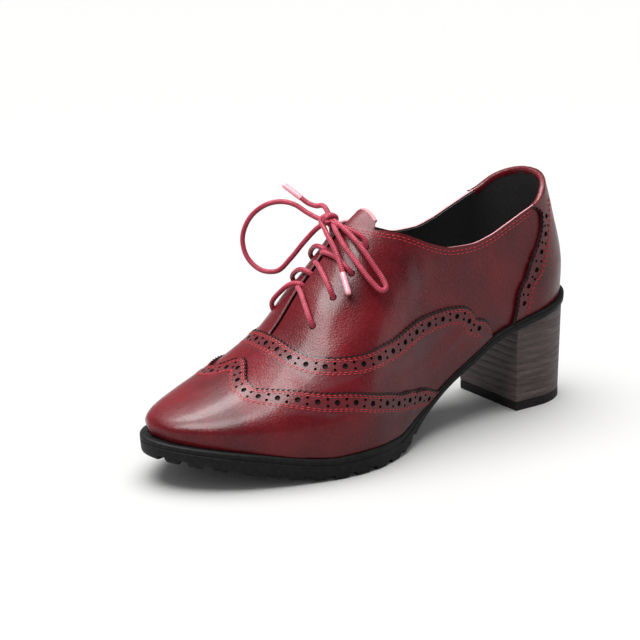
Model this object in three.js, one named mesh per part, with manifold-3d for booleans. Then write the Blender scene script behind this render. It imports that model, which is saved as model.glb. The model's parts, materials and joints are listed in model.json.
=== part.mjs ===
// A laced wing-tip shoe on a block heel, built as its maker builds it: a hollow upper on a last,
// leather panels over it, a tongue, an insole, a lugged outsole, a heel with its top lift and a lace.
// Millimetres. +X runs to the toe, +Y to the outer side of this left shoe, +Z up from the floor.
import * as THREE from 'three';
import { mergeVertices } from 'three/addons/utils/BufferGeometryUtils.js';
import Module from 'manifold-3d';

// The shoe as a whole.
const shoeLength = 242;
const ballWidth = 90;
const toeSpring = 14.5;
const seatHeight = 53.5;
const instepHeight = 108.5;
const collarHeight = 120.5;

// The sole under the ball of the foot and the thin rim that it leaves under the arch and heel.
const soleThickness = 10.8;
const rimThickness = 4.3;
const heelRound = 29;
const toeRound = 50;
const edgeRound = 0.8;

// Lugs round the edge of the forefoot.
const lugPitch = 11.5;
const grooveWidth = 4.8;
const grooveDepth = 2.1;
const grooveLength = 15;
const grooveOverrun = 4;
const lugsStart = 0.462;

// The heel block: it starts inside the sole's edge and narrows a little towards the floor.
const heelLength = 44;
const heelInset = 1.2;
const heelTaper = 1.8;
const topLiftThickness = 4.6;

// The upper and the leather panels over it. throatShare is how far along the last the facings meet.
const wall = 1.8;
const panelThickness = 0.9;
const backCurve = 12.5;
const backSwell = 1.6;
const throatShare = 0.7324;
const throatGap = 4.2;
const underlap = 10;
const seamGap = 1;
const toeCrownRound = 32;
const cutterReach = 6;
const cutterDepth = 3;
const toeLean = 1.2;

// The last under the upper: its length stops short of the sole at both ends, and a lower share of
// each section is the wall that leans out from the sole.
const lastStart = 3.2;
const lastEnd = 5.6;
const lastLength = shoeLength - lastStart - lastEnd;
const lowerShare = 0.2;

// The holes of the facings.
const eyeletDiameter = 3.6;

// The tongue and the insole. The tongue reaches ahead of the throat, and its top has round corners.
const tongueThickness = 2;
const tongueHalfWidth = 17;
const tongueGap = 0.7;
const insoleThickness = 2;
const tongueTopShare = 0.501;
const tongueReach = 6;
const tongueRound = 14;
const tongueTopFlat = 4;

// The lace, its knot and its tips.
const laceDiameter = 2.5;
const knotSize = [9, 11, 7];
const knotPlace = [137, -1.5, 111.3];
const agletLength = 11;
const agletDiameter = 2.9;

// Room that touching pieces keep.
const fitGap = 0.3;

// Outline of the sole seen from above. Shares of shoeLength, then of ballWidth.
// [along, centre line towards the outer side, outer half width, inner half width]
const outlineRows = [
  [0.0, 0.0, 0.305, 0.305],
  [0.12, 0.0, 0.305, 0.305],
  [0.25, 0.0, 0.302, 0.289],
  [0.35, 0.0, 0.312, 0.266],
  [0.434, 0.0, 0.356, 0.288],
  [0.475, -0.002, 0.405, 0.313],
  [0.54, -0.006, 0.488, 0.365],
  [0.603, -0.01, 0.55, 0.42],
  [0.645, -0.014, 0.563, 0.442],
  [0.682, -0.016, 0.558, 0.456],
  [0.723, -0.02, 0.538, 0.467],
  [0.785, -0.027, 0.495, 0.458],
  [0.83, -0.033, 0.462, 0.432],
  [0.89, -0.04, 0.432, 0.393],
  [0.94, -0.043, 0.402, 0.364],
  [1.0, -0.045, 0.364, 0.329],
];

// Underside of the sole seen from the side. Share of shoeLength, then of seatHeight and toeSpring.
// [along, height of the arch and seat, height of the toe spring]
const bottomRows = [
  [0.0, 1.0, 0.0],
  [0.09, 0.917, 0.0],
  [0.182, 0.83, 0.0],
  [0.24, 0.75, 0.0],
  [0.3, 0.605, 0.0],
  [0.36, 0.465, 0.0],
  [0.42, 0.305, 0.0],
  [0.465, 0.172, 0.0],
  [0.5, 0.06, 0.0],
  [0.54, 0.0, 0.0],
  [0.69, 0.0, 0.0],
  [0.727, 0.0, 0.06],
  [0.764, 0.0, 0.17],
  [0.814, 0.0, 0.36],
  [0.864, 0.0, 0.55],
  [0.93, 0.0, 0.78],
  [1.0, 0.0, 1.0],
];

// Thickness of the sole. [along, share of the way from rimThickness to soleThickness]
const thicknessRows = [
  [0.0, 0.0],
  [0.36, 0.03],
  [0.43, 0.14],
  [0.465, 0.5],
  [0.5, 0.9],
  [0.54, 1.0],
  [0.8, 0.96],
  [0.9, 0.84],
  [1.0, 0.7],
];

// Cross sections of the last. The half widths are shares of the sole's own half width there, the
// height of the widest place is a share of ballWidth above the sole, the crown is a share of
// instepHeight above the floor, and the squareness is the power of the curve over the section.
// [along, half width at the sole, half width at the widest, height of the widest, crown, squareness]
const sectionRows = [
  [0.0, 0.9, 0.955, 0.225, 1.45, 2.9],
  [0.12, 0.9, 0.955, 0.225, 1.42, 2.9],
  [0.25, 0.93, 1.0, 0.215, 1.35, 2.8],
  [0.36, 0.94, 1.02, 0.195, 1.26, 2.6],
  [0.43, 0.93, 1.0, 0.185, 1.18, 2.35],
  [0.49, 0.925, 0.965, 0.165, 1.085, 2.05],
  [0.545, 0.925, 0.95, 0.15, 1.0, 1.85],
  [0.612, 0.925, 0.945, 0.137, 0.843, 1.75],
  [0.66, 0.925, 0.945, 0.127, 0.735, 1.78],
  [0.719, 0.925, 0.945, 0.117, 0.58, 1.9],
  [0.776, 0.915, 0.94, 0.107, 0.475, 2.05],
  [0.83, 0.91, 0.935, 0.098, 0.398, 2.2],
  [0.88, 0.9, 0.925, 0.093, 0.356, 2.25],
  [0.93, 0.89, 0.92, 0.088, 0.328, 2.25],
  [1.0, 0.88, 0.91, 0.08, 0.308, 2.2],
];

// The top line of the collar and of the facings. [along the last, share of collarHeight]
const toplineRows = [
  [0.0, 1.0],
  [0.05, 0.957],
  [0.1, 0.902],
  [0.15, 0.868],
  [0.2, 0.833],
  [0.25, 0.799],
  [0.3, 0.781],
  [0.35, 0.783],
  [0.4, 0.811],
  [0.45, 0.856],
  [0.475, 0.874],
  [0.51, 0.886],
  [0.545, 0.898],
  [0.6, 0.94],
];

// Edges of the leather panels: how far along the last, at a share of the way over the section,
// where 0 is at the sole and 1 is at the crown. [over, along]
const wingEdgeRows = [
  [0.0, 0.405],
  [0.05, 0.42],
  [0.19, 0.48],
  [0.28, 0.563],
  [0.35, 0.632],
  [0.425, 0.695],
  [0.506, 0.743],
  [0.606, 0.785],
  [0.66, 0.802],
  [0.73, 0.816],
  [0.8, 0.816],
  [0.87, 0.807],
  [0.92, 0.796],
  [0.97, 0.787],
  [1.0, 0.784],
];
const vampEdgeRows = [
  [0.0, 0.245],
  [0.06, 0.251],
  [0.125, 0.264],
  [0.18, 0.284],
  [0.225, 0.315],
  [0.26, 0.355],
  [0.305, 0.407],
  [0.38, 0.485],
  [0.445, 0.573],
  [0.5, 0.635],
  [0.56, 0.675],
  [0.67, 0.71],
  [0.77, 0.723],
  [0.9, 0.728],
  [1.0, 0.73],
];
const counterEdgeRows = [
  [0.0, 0.19],
  [0.14, 0.184],
  [0.38, 0.18],
  [0.55, 0.168],
  [0.63, 0.142],
  [0.72, 0.115],
  [0.81, 0.099],
  [0.88, 0.096],
  [0.94, 0.105],
  [1.0, 0.122],
];

// Eyelets of one facing, front to back, and how far the lace climbs from each to the crown line.
// [along, share of the way over the section, climb as a share of the lace's diameter]
const eyeletRows = [
  [0.68, 0.75, 2.4],
  [0.628, 0.75, 2.4],
  [0.582, 0.742, 1.4],
  [0.54, 0.762, -0.5],
];

// The bow as it lies in the photograph. Each cord starts and ends inside the knot.
const innerLoop = [
  [137, -3, 111], [138.5, -8, 110.5], [141.5, -15, 113], [145, -20.5, 116.5], [149, -27, 117.5],
  [154, -33.5, 115.5], [159, -41, 108.5], [161.5, -45, 98], [161.2, -42, 89], [157.5, -35.5, 83],
  [152.5, -27.5, 83.2], [148.5, -21, 90], [144.5, -14, 99], [140.5, -7.5, 106.5], [137.5, -3, 110],
];
const outerLoop = [
  [136.5, 1, 111], [135.6, 7, 108.8], [134.4, 14, 104.9], [132.8, 20.5, 99.6], [130.8, 26.5, 92.4],
  [129, 31, 86.6], [129.3, 33.8, 83], [132, 34, 82.4], [134.8, 30.5, 86], [137.4, 23.5, 93.4],
  [138.8, 14, 100.8], [138.5, 6.5, 106.6], [137.2, 1, 110],
];
const innerEnd = [
  [136.5, -3, 112], [136, -8.5, 116.5], [137.5, -13, 116], [139.5, -17, 117], [141.5, -20.5, 119.5],
];
const outerEnd = [
  [138.5, 0, 109.2], [142, 3.5, 105.4], [142.2, 8.5, 101.2], [142.8, 14, 96], [144, 19.5, 89.6],
];

// A smooth line through a table without overshoot between its rows.
function lookUp(rows, column, along) {
  const last = rows.length - 1;
  if (along <= rows[0][0]) return rows[0][column];
  if (along >= rows[last][0]) return rows[last][column];
  const step = (i) => rows[i + 1][0] - rows[i][0];
  const rise = (i) => (rows[i + 1][column] - rows[i][column]) / step(i);
  const slope = (i) => {
    if (i === 0) return rise(0);
    if (i === last) return rise(last - 1);
    const before = rise(i - 1);
    const after = rise(i);
    if (before * after <= 0) return 0;
    const a = 2 * step(i) + step(i - 1);
    const b = step(i) + 2 * step(i - 1);
    return (a + b) / (a / before + b / after);
  };
  let i = 0;
  while (rows[i + 1][0] < along) i += 1;
  const h = step(i);
  const t = (along - rows[i][0]) / h;
  const start = rows[i][column] * (1 + 2 * t) * (1 - t) ** 2 + slope(i) * h * t * (1 - t) ** 2;
  const end = rows[i + 1][column] * t * t * (3 - 2 * t) + slope(i + 1) * h * t * t * (t - 1);
  return start + end;
}

// A quarter of a round end: 0 at the very end, 1 where the round is over.
function roundEnd(distance, radius) {
  if (distance >= radius) return 1;
  return Math.sqrt(Math.max(0, 1 - (1 - distance / radius) ** 2));
}

function smoothStep(from, to, value) {
  const t = Math.min(1, Math.max(0, (value - from) / (to - from)));
  return t * t * (3 - 2 * t);
}

const clamp = (value, low, high) => Math.min(high, Math.max(low, value));

// The sole: half width to one side (+1 outer, -1 inner), centre line and heights.
function soleHalf(along, side) {
  const x = along * shoeLength;
  const ends = roundEnd(x, heelRound) * roundEnd(shoeLength - x, toeRound);
  return lookUp(outlineRows, side > 0 ? 2 : 3, along) * ballWidth * ends;
}

const centreLine = (along) => lookUp(outlineRows, 1, along) * ballWidth;

function soleBottom(along) {
  return lookUp(bottomRows, 1, along) * seatHeight + lookUp(bottomRows, 2, along) * toeSpring;
}

function soleTop(along) {
  const share = lookUp(thicknessRows, 1, along);
  return soleBottom(along) + rimThickness + share * (soleThickness - rimThickness);
}

// Distance from the back of the last at a height, which gives the heel its swell and the collar its lean.
function backProfile(height) {
  const rise = clamp((height - seatHeight) / (collarHeight - seatHeight), 0, 1);
  return backCurve * rise ** 1.9 - backSwell * Math.sin(Math.PI * Math.min(1, rise * 1.4)) ** 2;
}

// A point on the upper's outer face. along: 0 at the back, 1 at the toe. over: 0 at the sole,
// 1 at the crown line, on one side of it.
function lastPoint(along, side, over) {
  const s = clamp(along, 0, 1);
  const soleAlong = (lastStart + s * lastLength) / shoeLength;
  const ends = roundEnd(s * lastLength, heelRound) * roundEnd((1 - s) * lastLength, toeRound);
  const full = lookUp(outlineRows, side > 0 ? 2 : 3, soleAlong) * ballWidth * ends;
  const feather = lookUp(sectionRows, 1, s) * full;
  const widest = lookUp(sectionRows, 2, s) * full;
  const low = soleTop(soleAlong) + fitGap;
  const middle = low + lookUp(sectionRows, 3, s) * ballWidth;
  const crownRise = lookUp(sectionRows, 4, s) * instepHeight - middle;
  const crown = crownRise * roundEnd((1 - s) * lastLength, toeCrownRound);
  const power = 2 / lookUp(sectionRows, 5, s);
  let y = widest;
  let z = middle;
  let forward = 0;
  if (over < lowerShare) {
    const q = over / lowerShare;
    y = widest - (widest - feather) * (1 - q) ** 2;
    z = low + (middle - low) * q;
    forward = -toeLean * (1 - q) ** 2 * smoothStep(0.85, 1, s);
  } else {
    const angle = (Math.min(1, (over - lowerShare) / (1 - lowerShare)) * Math.PI) / 2;
    y = widest * Math.max(0, Math.cos(angle)) ** power;
    z = middle + crown * Math.sin(angle) ** power;
  }
  const fade = Math.max(0, 1 - s / 0.42) ** 2;
  const x = lastStart + s * lastLength + backProfile(z) * fade + forward;
  return new THREE.Vector3(x, centreLine(soleAlong) + side * y, z);
}

// The direction out of the upper's outer face. On the back seam, along the crown and at the tip of
// the toe it lies in the plane that both sides share.
function lastNormal(along, side, over) {
  const ds = 0.002;
  const dv = 0.004;
  const s = clamp(along, 0.0015, 0.9985);
  const v0 = clamp(over - dv, 0, 0.99);
  const v1 = clamp(over + dv, 0.006, 0.998);
  const high = Math.min(over, 0.998);
  if (along >= 0.9995) return new THREE.Vector3(1, 0, 0);
  const onSeam = along <= 0.0005;
  const upwards = lastPoint(onSeam ? 0 : s, side, v1).sub(lastPoint(onSeam ? 0 : s, side, v0));
  if (onSeam) return new THREE.Vector3(-upwards.z, 0, upwards.x).normalize();
  const onCrown = over >= 0.9995;
  const forwards = lastPoint(clamp(along + ds, 0, 1), side, onCrown ? 1 : high);
  forwards.sub(lastPoint(clamp(along - ds, 0, 1), side, onCrown ? 1 : high));
  if (onCrown) return new THREE.Vector3(-forwards.z, 0, forwards.x).normalize();
  return forwards.cross(upwards).multiplyScalar(-side).normalize();
}

// The same face moved out along its normal by an offset, or in by a negative one. It never goes
// lower than the sole.
function skinPoint(along, side, over, offset) {
  const point = lastPoint(along, side, over);
  if (offset !== 0) point.addScaledVector(lastNormal(along, side, over), offset);
  const lowest = soleTop(clamp(point.x / shoeLength, 0, 1)) + fitGap;
  point.z = over <= 0 ? lowest : Math.max(point.z, lowest);
  return point;
}

// How far over the section the collar and the facings reach at a place along the last.
function openingEdge(along, side) {
  if (along >= throatShare) return 1;
  const soleAlong = (lastStart + along * lastLength) / shoeLength;
  const full = Math.abs(lastPoint(along, side, lowerShare).y - centreLine(soleAlong));
  const exponent = lookUp(sectionRows, 5, along);
  const middle = lastPoint(along, side, lowerShare).z;
  const crown = lastPoint(along, side, 1).z;
  const top = lookUp(toplineRows, 1, along) * collarHeight;
  const rise = clamp((top - middle) / (crown - middle), 0, 1);
  const collarAngle = Math.asin(rise ** (exponent / 2));
  const halfGap = (throatGap / 2) * roundEnd((throatShare - along) * lastLength, throatGap / 2);
  const gapAngle = Math.acos(clamp(halfGap / Math.max(full, 1), 0, 1) ** (exponent / 2));
  const angle = along > throatShare / 2 ? Math.min(collarAngle, gapAngle) : collarAngle;
  return lowerShare + (1 - lowerShare) * (angle / (Math.PI / 2));
}

// Collects triangles into one closed skin and joins equal corners.
class Skin {
  constructor() {
    this.places = [];
    this.faces = [];
    this.known = new Map();
  }

  corner(point) {
    const key = [point.x, point.y, point.z].map((value) => Math.round(value * 500)).join(' ');
    if (!this.known.has(key)) {
      this.known.set(key, this.places.length / 3);
      this.places.push(point.x, point.y, point.z);
    }
    return this.known.get(key);
  }

  triangle(a, b, c) {
    const [i, j, k] = [this.corner(a), this.corner(b), this.corner(c)];
    if (i !== j && j !== k && k !== i) this.faces.push(i, j, k);
  }

  quad(a, b, c, d) {
    this.triangle(a, b, c);
    this.triangle(a, c, d);
  }

  // A sheet of rows of points, facing the side from which the rows run anticlockwise.
  sheet(rows, flip = false) {
    for (let i = 0; i + 1 < rows.length; i += 1) {
      for (let j = 0; j + 1 < rows[i].length; j += 1) {
        const [a, b] = [rows[i][j], rows[i + 1][j]];
        const [c, d] = [rows[i + 1][j + 1], rows[i][j + 1]];
        if (flip) this.quad(a, d, c, b);
        else this.quad(a, b, c, d);
      }
    }
  }

  // The same skin with its faces turned outwards.
  turnedOut() {
    const at = (i) => new THREE.Vector3().fromArray(this.places, 3 * i);
    let volume = 0;
    for (let i = 0; i < this.faces.length; i += 3) {
      const [a, b, c] = this.faces.slice(i, i + 3).map(at);
      volume += a.dot(b.cross(c));
    }
    if (volume < 0) this.faces.reverse();
    return this.geometry();
  }

  geometry() {
    const shape = new THREE.BufferGeometry();
    shape.setAttribute('position', new THREE.Float32BufferAttribute(this.places, 3));
    shape.setIndex(this.faces);
    shape.computeVertexNormals();
    return shape;
  }
}

const column = (rows, j) => rows.map((row) => row[j]);

// A closed shell between an outer and an inner sheet of the same rows and columns. Where the last
// column of a sheet folds onto itself, it needs no edge there.
function shell(outer, inner, hasLastEdge) {
  const skin = new Skin();
  const lastRow = outer.length - 1;
  const lastColumn = outer[0].length - 1;
  skin.sheet(outer);
  skin.sheet(inner, true);
  skin.sheet([inner[0], outer[0]]);
  skin.sheet([outer[lastRow], inner[lastRow]]);
  skin.sheet([column(outer, 0), column(inner, 0)]);
  if (hasLastEdge) skin.sheet([column(inner, lastColumn), column(outer, lastColumn)]);
  return skin.turnedOut();
}

// Booleans.
const wasm = await Module();
wasm.setup();

function toManifold(geometry) {
  const vertProperties = new Float32Array(geometry.attributes.position.array);
  const triVerts = new Uint32Array(geometry.index.array);
  return new wasm.Manifold(new wasm.Mesh({ numProp: 3, vertProperties, triVerts }));
}

function fromManifold(solid) {
  const mesh = solid.getMesh();
  const shape = new THREE.BufferGeometry();
  shape.setAttribute('position', new THREE.BufferAttribute(new Float32Array(mesh.vertProperties), 3));
  shape.setIndex(new THREE.BufferAttribute(new Uint32Array(mesh.triVerts), 1));
  shape.computeVertexNormals();
  return shape;
}

// A box or a rod as a solid: its geometry with the corners joined, placed by a matrix.
function toolSolid(geometry, matrix) {
  const skin = new Skin();
  const flat = geometry.index ? geometry.toNonIndexed() : geometry;
  const places = flat.applyMatrix4(matrix).attributes.position;
  const at = (i) => new THREE.Vector3().fromBufferAttribute(places, i);
  for (let i = 0; i < places.count; i += 3) skin.triangle(at(i), at(i + 1), at(i + 2));
  return toManifold(skin.geometry());
}

// Stations along the last, closer together at the round ends and at the ends of the opening.
function stations() {
  const list = [];
  const heelEnd = 0.12;
  const topEnd = 0.47;
  const facingEnd = 0.56;
  const toeStart = 0.8;
  for (let i = 0; i < 6; i += 1) list.push(heelEnd * (1 - Math.cos((i / 6) * (Math.PI / 2))));
  for (let i = 0; i < 10; i += 1) list.push(heelEnd + (topEnd - heelEnd) * (i / 10));
  for (let i = 0; i < 5; i += 1) list.push(topEnd + (facingEnd - topEnd) * (i / 5));
  for (let i = 0; i < 5; i += 1) list.push(facingEnd + (throatShare - 0.012 - facingEnd) * (i / 5));
  for (const back of [2.1, 0.8, 0]) list.push(throatShare - back / lastLength);
  for (let i = 1; i < 3; i += 1) list.push(throatShare + (toeStart - throatShare) * (i / 3));
  for (let i = 0; i <= 7; i += 1) list.push(toeStart + (1 - toeStart) * Math.sin((i / 7) * (Math.PI / 2)));
  return list;
}

// A shell all round the last between two offsets from the upper's outer face, open at the collar,
// between the facings and underneath. The upper is one, and the panels are cut from others.
function lastShell(outerOffset, innerOffset) {
  const rowsOver = 9;
  const skin = new Skin();
  const along = stations();
  const open = along.filter((s) => s <= throatShare + 1e-9).length;
  const grid = (side, offset) => along.map((s) => {
    const edge = openingEdge(s, side);
    const line = [];
    for (let j = 0; j <= rowsOver; j += 1) {
      const share = j / rowsOver;
      line.push(skinPoint(s, side, edge * (0.5 * share + 0.5 * Math.sin((share * Math.PI) / 2)), offset));
    }
    return line;
  });
  for (const side of [1, -1]) {
    const outer = grid(side, outerOffset);
    const inner = grid(side, innerOffset);
    skin.sheet(outer, side > 0);
    skin.sheet(inner, side < 0);
    skin.sheet([column(outer, 0), column(inner, 0)], side > 0);
    skin.sheet([column(inner, rowsOver).slice(0, open), column(outer, rowsOver).slice(0, open)], side > 0);
  }
  return toManifold(skin.geometry());
}

// A place on one facing, both sides alike, at a distance from the crown line.
function overAt(along, side, distance) {
  const soleAlong = (lastStart + along * lastLength) / shoeLength;
  const full = Math.abs(lastPoint(along, side, lowerShare).y - centreLine(soleAlong));
  const angle = Math.acos(clamp(distance / full, 0, 1) ** (lookUp(sectionRows, 5, along) / 2));
  return lowerShare + (1 - lowerShare) * (angle / (Math.PI / 2));
}

// The upper with its eyelets punched through the facings.
function punchedUpper() {
  let solid = lastShell(0, -wall);
  for (const side of [1, -1]) {
    for (const [along, over] of eyeletRows) {
      const rod = new THREE.CylinderGeometry(eyeletDiameter / 2, eyeletDiameter / 2, 4 * wall, 12);
      const turn = new THREE.Quaternion();
      turn.setFromUnitVectors(new THREE.Vector3(0, 1, 0), lastNormal(along, side, over));
      const place = skinPoint(along, side, over, -wall / 2);
      const matrix = new THREE.Matrix4().compose(place, turn, new THREE.Vector3(1, 1, 1));
      solid = solid.subtract(toolSolid(rod, matrix));
    }
  }
  return fromManifold(solid);
}

// Rows of a cutter that runs over the crown from one side of the sole to the other.
const overSteps = [
  0, 0.05, 0.11, 0.17, 0.22, 0.26, 0.3, 0.34, 0.38, 0.43, 0.48, 0.54, 0.61, 0.69, 0.77, 0.85, 0.93, 1,
];
const acrossCrown = [
  ...overSteps.map((over) => [1, over]),
  ...overSteps.slice(0, -1).reverse().map((over) => [-1, over]),
];

// A thick slab of space along the last, between two lines across it, that cuts a panel to its
// outline. It reaches below the foot of the panels.
function slab(rows, hasLastEdge) {
  const sheetAt = (offset) => {
    const sheet = rows.map((row) => row.map(([along, side, over]) => skinPoint(along, side, over, offset)));
    const below = (line) => line.map((point) => new THREE.Vector3(point.x, point.y, point.z - cutterReach));
    return [below(sheet[0]), ...sheet, below(sheet[sheet.length - 1])];
  };
  return toManifold(shell(sheetAt(cutterReach), sheetAt(-cutterDepth), hasLastEdge));
}

function crossSlab(rearAt, frontAt, columns, hasLastEdge) {
  const rows = acrossCrown.map(([side, over]) => {
    const line = [];
    for (let j = 0; j <= columns; j += 1) {
      const share = Math.sin((j / columns) * (Math.PI / 2));
      line.push([rearAt(over) + (frontAt(over) - rearAt(over)) * share, side, over]);
    }
    return line;
  });
  return slab(rows, hasLastEdge);
}

const wingEdge = (over) => lookUp(wingEdgeRows, 1, over);
const vampEdge = (over) => lookUp(vampEdgeRows, 1, over);
const layer = fitGap + panelThickness;

// The vamp: from its edge over the quarters to a seam hidden under the wing tip.
function vampShape() {
  const seam = (over) => wingEdge(over) + underlap / lastLength;
  return fromManifold(lastShell(layer, fitGap).intersect(crossSlab(vampEdge, seam, 8, true)));
}

// The wing tip: from its winged edge to the toe. Its rear margin lies over the vamp, and ahead of
// the hidden seam it is thicker, as over a toe puff.
function wingShape() {
  const seam = (over) => wingEdge(over) + (underlap + seamGap) / lastLength;
  const behind = (over) => wingEdge(over) - cutterDepth / lastLength;
  const overVamp = lastShell(layer + fitGap, -1).intersect(crossSlab(behind, seam, 8, true));
  const whole = lastShell(2 * layer, fitGap).intersect(crossSlab(wingEdge, () => 1, 9, false));
  const stepped = whole.subtract(overVamp).subtract(overVamp.translate(0, 0, -fitGap));
  return fromManifold(stepped);
}

// The heel counter: round the back from one front edge to the other, from the sole to the collar.
function counterShape() {
  const rowsUp = 16;
  const columns = 14;
  const sheetAt = (offset) => {
    const sheet = [];
    for (let i = 0; i <= rowsUp; i += 1) {
      const line = [];
      for (let j = 0; j <= columns; j += 1) {
        const across = Math.sin((j / columns - 0.5) * Math.PI);
        const side = across < 0 ? -1 : 1;
        const along = Math.abs(across) * lookUp(counterEdgeRows, 1, i / rowsUp);
        line.push(skinPoint(along, side, (i / rowsUp) * openingEdge(along, side), offset));
      }
      sheet.push(line);
    }
    const moved = (line, up) => line.map((point) => new THREE.Vector3(point.x, point.y, point.z + up));
    return [moved(sheet[0], -cutterReach), ...sheet, moved(sheet[rowsUp], cutterReach)];
  };
  const cutter = toManifold(shell(sheetAt(cutterReach), sheetAt(-cutterDepth), true));
  return fromManifold(lastShell(layer, fitGap).intersect(cutter));
}

// The tongue: under the facings, from just ahead of the throat to above the top of the facings.
function tongueShape() {
  const rowsAlong = 14;
  const columns = 12;
  const front = throatShare + tongueReach / lastLength;
  const sheetAt = (offset) => {
    const rows = [];
    for (let i = 0; i <= rowsAlong; i += 1) {
      const along = tongueTopShare + (front - tongueTopShare) * (i / rowsAlong);
      const round = roundEnd((along - tongueTopShare) * lastLength + tongueTopFlat, tongueRound);
      const line = [];
      for (let j = 0; j <= columns; j += 1) {
        const across = (2 * j) / columns - 1;
        const side = across < 0 ? -1 : 1;
        const distance = Math.abs(across) * tongueHalfWidth * round;
        line.push(skinPoint(along, side, overAt(along, side, distance), offset));
      }
      rows.push(line);
    }
    return rows;
  };
  const outside = -wall - tongueGap;
  return shell(sheetAt(outside), sheetAt(outside - tongueThickness), true);
}

// A place on the sole's outline, moved in from the edge.
function outlinePoint(along, side, inset) {
  const step = 0.001;
  const at = (a) => new THREE.Vector2(a * shoeLength, centreLine(a) + side * soleHalf(a, side));
  const point = at(along);
  const direction = at(Math.min(1, along + step)).sub(at(Math.max(0, along - step))).normalize();
  const outward = new THREE.Vector2(-direction.y, direction.x).multiplyScalar(side);
  if (along <= 0) outward.set(-1, 0);
  if (along >= 1) outward.set(1, 0);
  return point.addScaledVector(outward, -inset);
}

function soleStations() {
  const list = [];
  const heelEnd = heelRound / shoeLength;
  const toeStart = 1 - toeRound / shoeLength;
  for (let i = 0; i < 8; i += 1) list.push(heelEnd * (1 - Math.cos((i / 8) * (Math.PI / 2))));
  for (let i = 0; i < 24; i += 1) list.push(heelEnd + (toeStart - heelEnd) * (i / 24));
  for (let i = 0; i <= 10; i += 1) list.push(toeStart + (1 - toeStart) * Math.sin((i / 10) * (Math.PI / 2)));
  return list;
}

// Joins rings of points, one ring for each station, into a closed skin. The end rings are flat.
function lofted(rings) {
  const skin = new Skin();
  skin.sheet(rings.map((ring) => [...ring, ring[0]]));
  return skin.turnedOut();
}

// The outsole with its thick forefoot, arch, heel seat and lugs.
function outsoleShape() {
  const rings = soleStations().map((along) => {
    const place = (side, inset, up) => {
      const flat = outlinePoint(along, side, inset);
      const share = clamp(flat.x / shoeLength, 0, 1);
      const z = up > 0 ? soleTop(share) - up + 0.01 : soleBottom(share) - up - 0.01;
      return new THREE.Vector3(flat.x, flat.y, z);
    };
    const edge = (side) => [
      place(side, edgeRound, 0.01),
      place(side, 0, edgeRound + 0.01),
      place(side, 0, -edgeRound - 0.01),
      place(side, edgeRound, -0.01),
    ];
    return [...edge(1), ...edge(-1).reverse()];
  });
  let solid = toManifold(lofted(rings));
  for (const groove of grooveSolids()) solid = solid.subtract(groove);
  return fromManifold(solid);
}

// Grooves between the lugs, square to the edge of the sole, wider at the tread than at their roof.
function grooveSolids() {
  const solids = [];
  for (const side of [1, -1]) {
    let travelled = lugPitch / 2;
    const step = 0.0005;
    for (let along = lugsStart; along < 0.992; along += step) {
      const here = outlinePoint(along, side, 0);
      travelled += here.distanceTo(outlinePoint(along + step, side, 0));
      if (travelled >= lugPitch) {
        travelled -= lugPitch;
        solids.push(grooveSolid(along, side));
      }
    }
  }
  return solids;
}

function grooveSolid(along, side) {
  const edge = outlinePoint(along, side, 0);
  const inner = outlinePoint(along, side, grooveLength);
  const inward = new THREE.Vector3(inner.x - edge.x, inner.y - edge.y, 0).normalize();
  const section = new THREE.Shape();
  section.moveTo(-grooveWidth * 0.75, -grooveDepth);
  section.lineTo(grooveWidth * 0.75, -grooveDepth);
  section.lineTo(grooveWidth * 0.38, grooveDepth);
  section.lineTo(-grooveWidth * 0.38, grooveDepth);
  section.closePath();
  const depth = grooveLength + grooveOverrun;
  const bar = new THREE.ExtrudeGeometry(section, { depth, bevelEnabled: false });
  const up = new THREE.Vector3(0, 0, 1);
  const across = new THREE.Vector3().crossVectors(up, inward);
  const matrix = new THREE.Matrix4().makeBasis(across, up, inward);
  const low = soleBottom(clamp(edge.x / shoeLength, 0, 1));
  matrix.setPosition(new THREE.Vector3(edge.x, edge.y, low).addScaledVector(inward, -grooveOverrun));
  return toolSolid(bar, matrix);
}

// The insole: inside the foot of the upper, on the sole.
function insoleShape() {
  const rings = stations().map((along) => {
    const place = (side, up) => {
      const edge = skinPoint(along, side, 0, -wall - fitGap);
      edge.z += up;
      return edge;
    };
    return [place(1, 0), place(1, insoleThickness), place(-1, insoleThickness), place(-1, 0)];
  });
  return lofted(rings);
}

// A block under the seat of the sole, between two heights, each a function of the place along it.
function heelSolid(low, high, lowInset, highInset) {
  const rings = [];
  const steps = 14;
  for (let i = 0; i <= steps; i += 1) {
    const along = (heelLength / shoeLength) * (1 - Math.cos((i / steps) * (Math.PI / 2)));
    const place = (side, inset, height) => {
      const flat = outlinePoint(along, side, inset);
      const x = i === steps ? heelLength : flat.x;
      return new THREE.Vector3(x, flat.y, height(x / shoeLength));
    };
    const edge = (side) => [place(side, highInset, high), place(side, lowInset, low)];
    rings.push([...edge(1), ...edge(-1).reverse()]);
  }
  const skin = new Skin();
  skin.sheet(rings.map((ring) => [...ring, ring[0]]));
  skin.quad(...rings[steps].slice().reverse());
  return skin.turnedOut();
}

// A crossing of the lace: out of an eyelet, over the facings, and into the eyelet opposite.
function crossingPoints(row) {
  const [along, over, climb] = eyeletRows[row];
  const rise = (climb * laceDiameter) / lastLength;
  const points = [];
  for (let i = -4; i <= 4; i += 1) {
    const share = 1 - Math.abs(i) / 4;
    const side = i < 0 ? 1 : -1;
    points.push(skinPoint(along - rise * share, side, over + (1 - over) * share, laceDiameter / 2 + 0.5));
  }
  return points;
}

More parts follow.
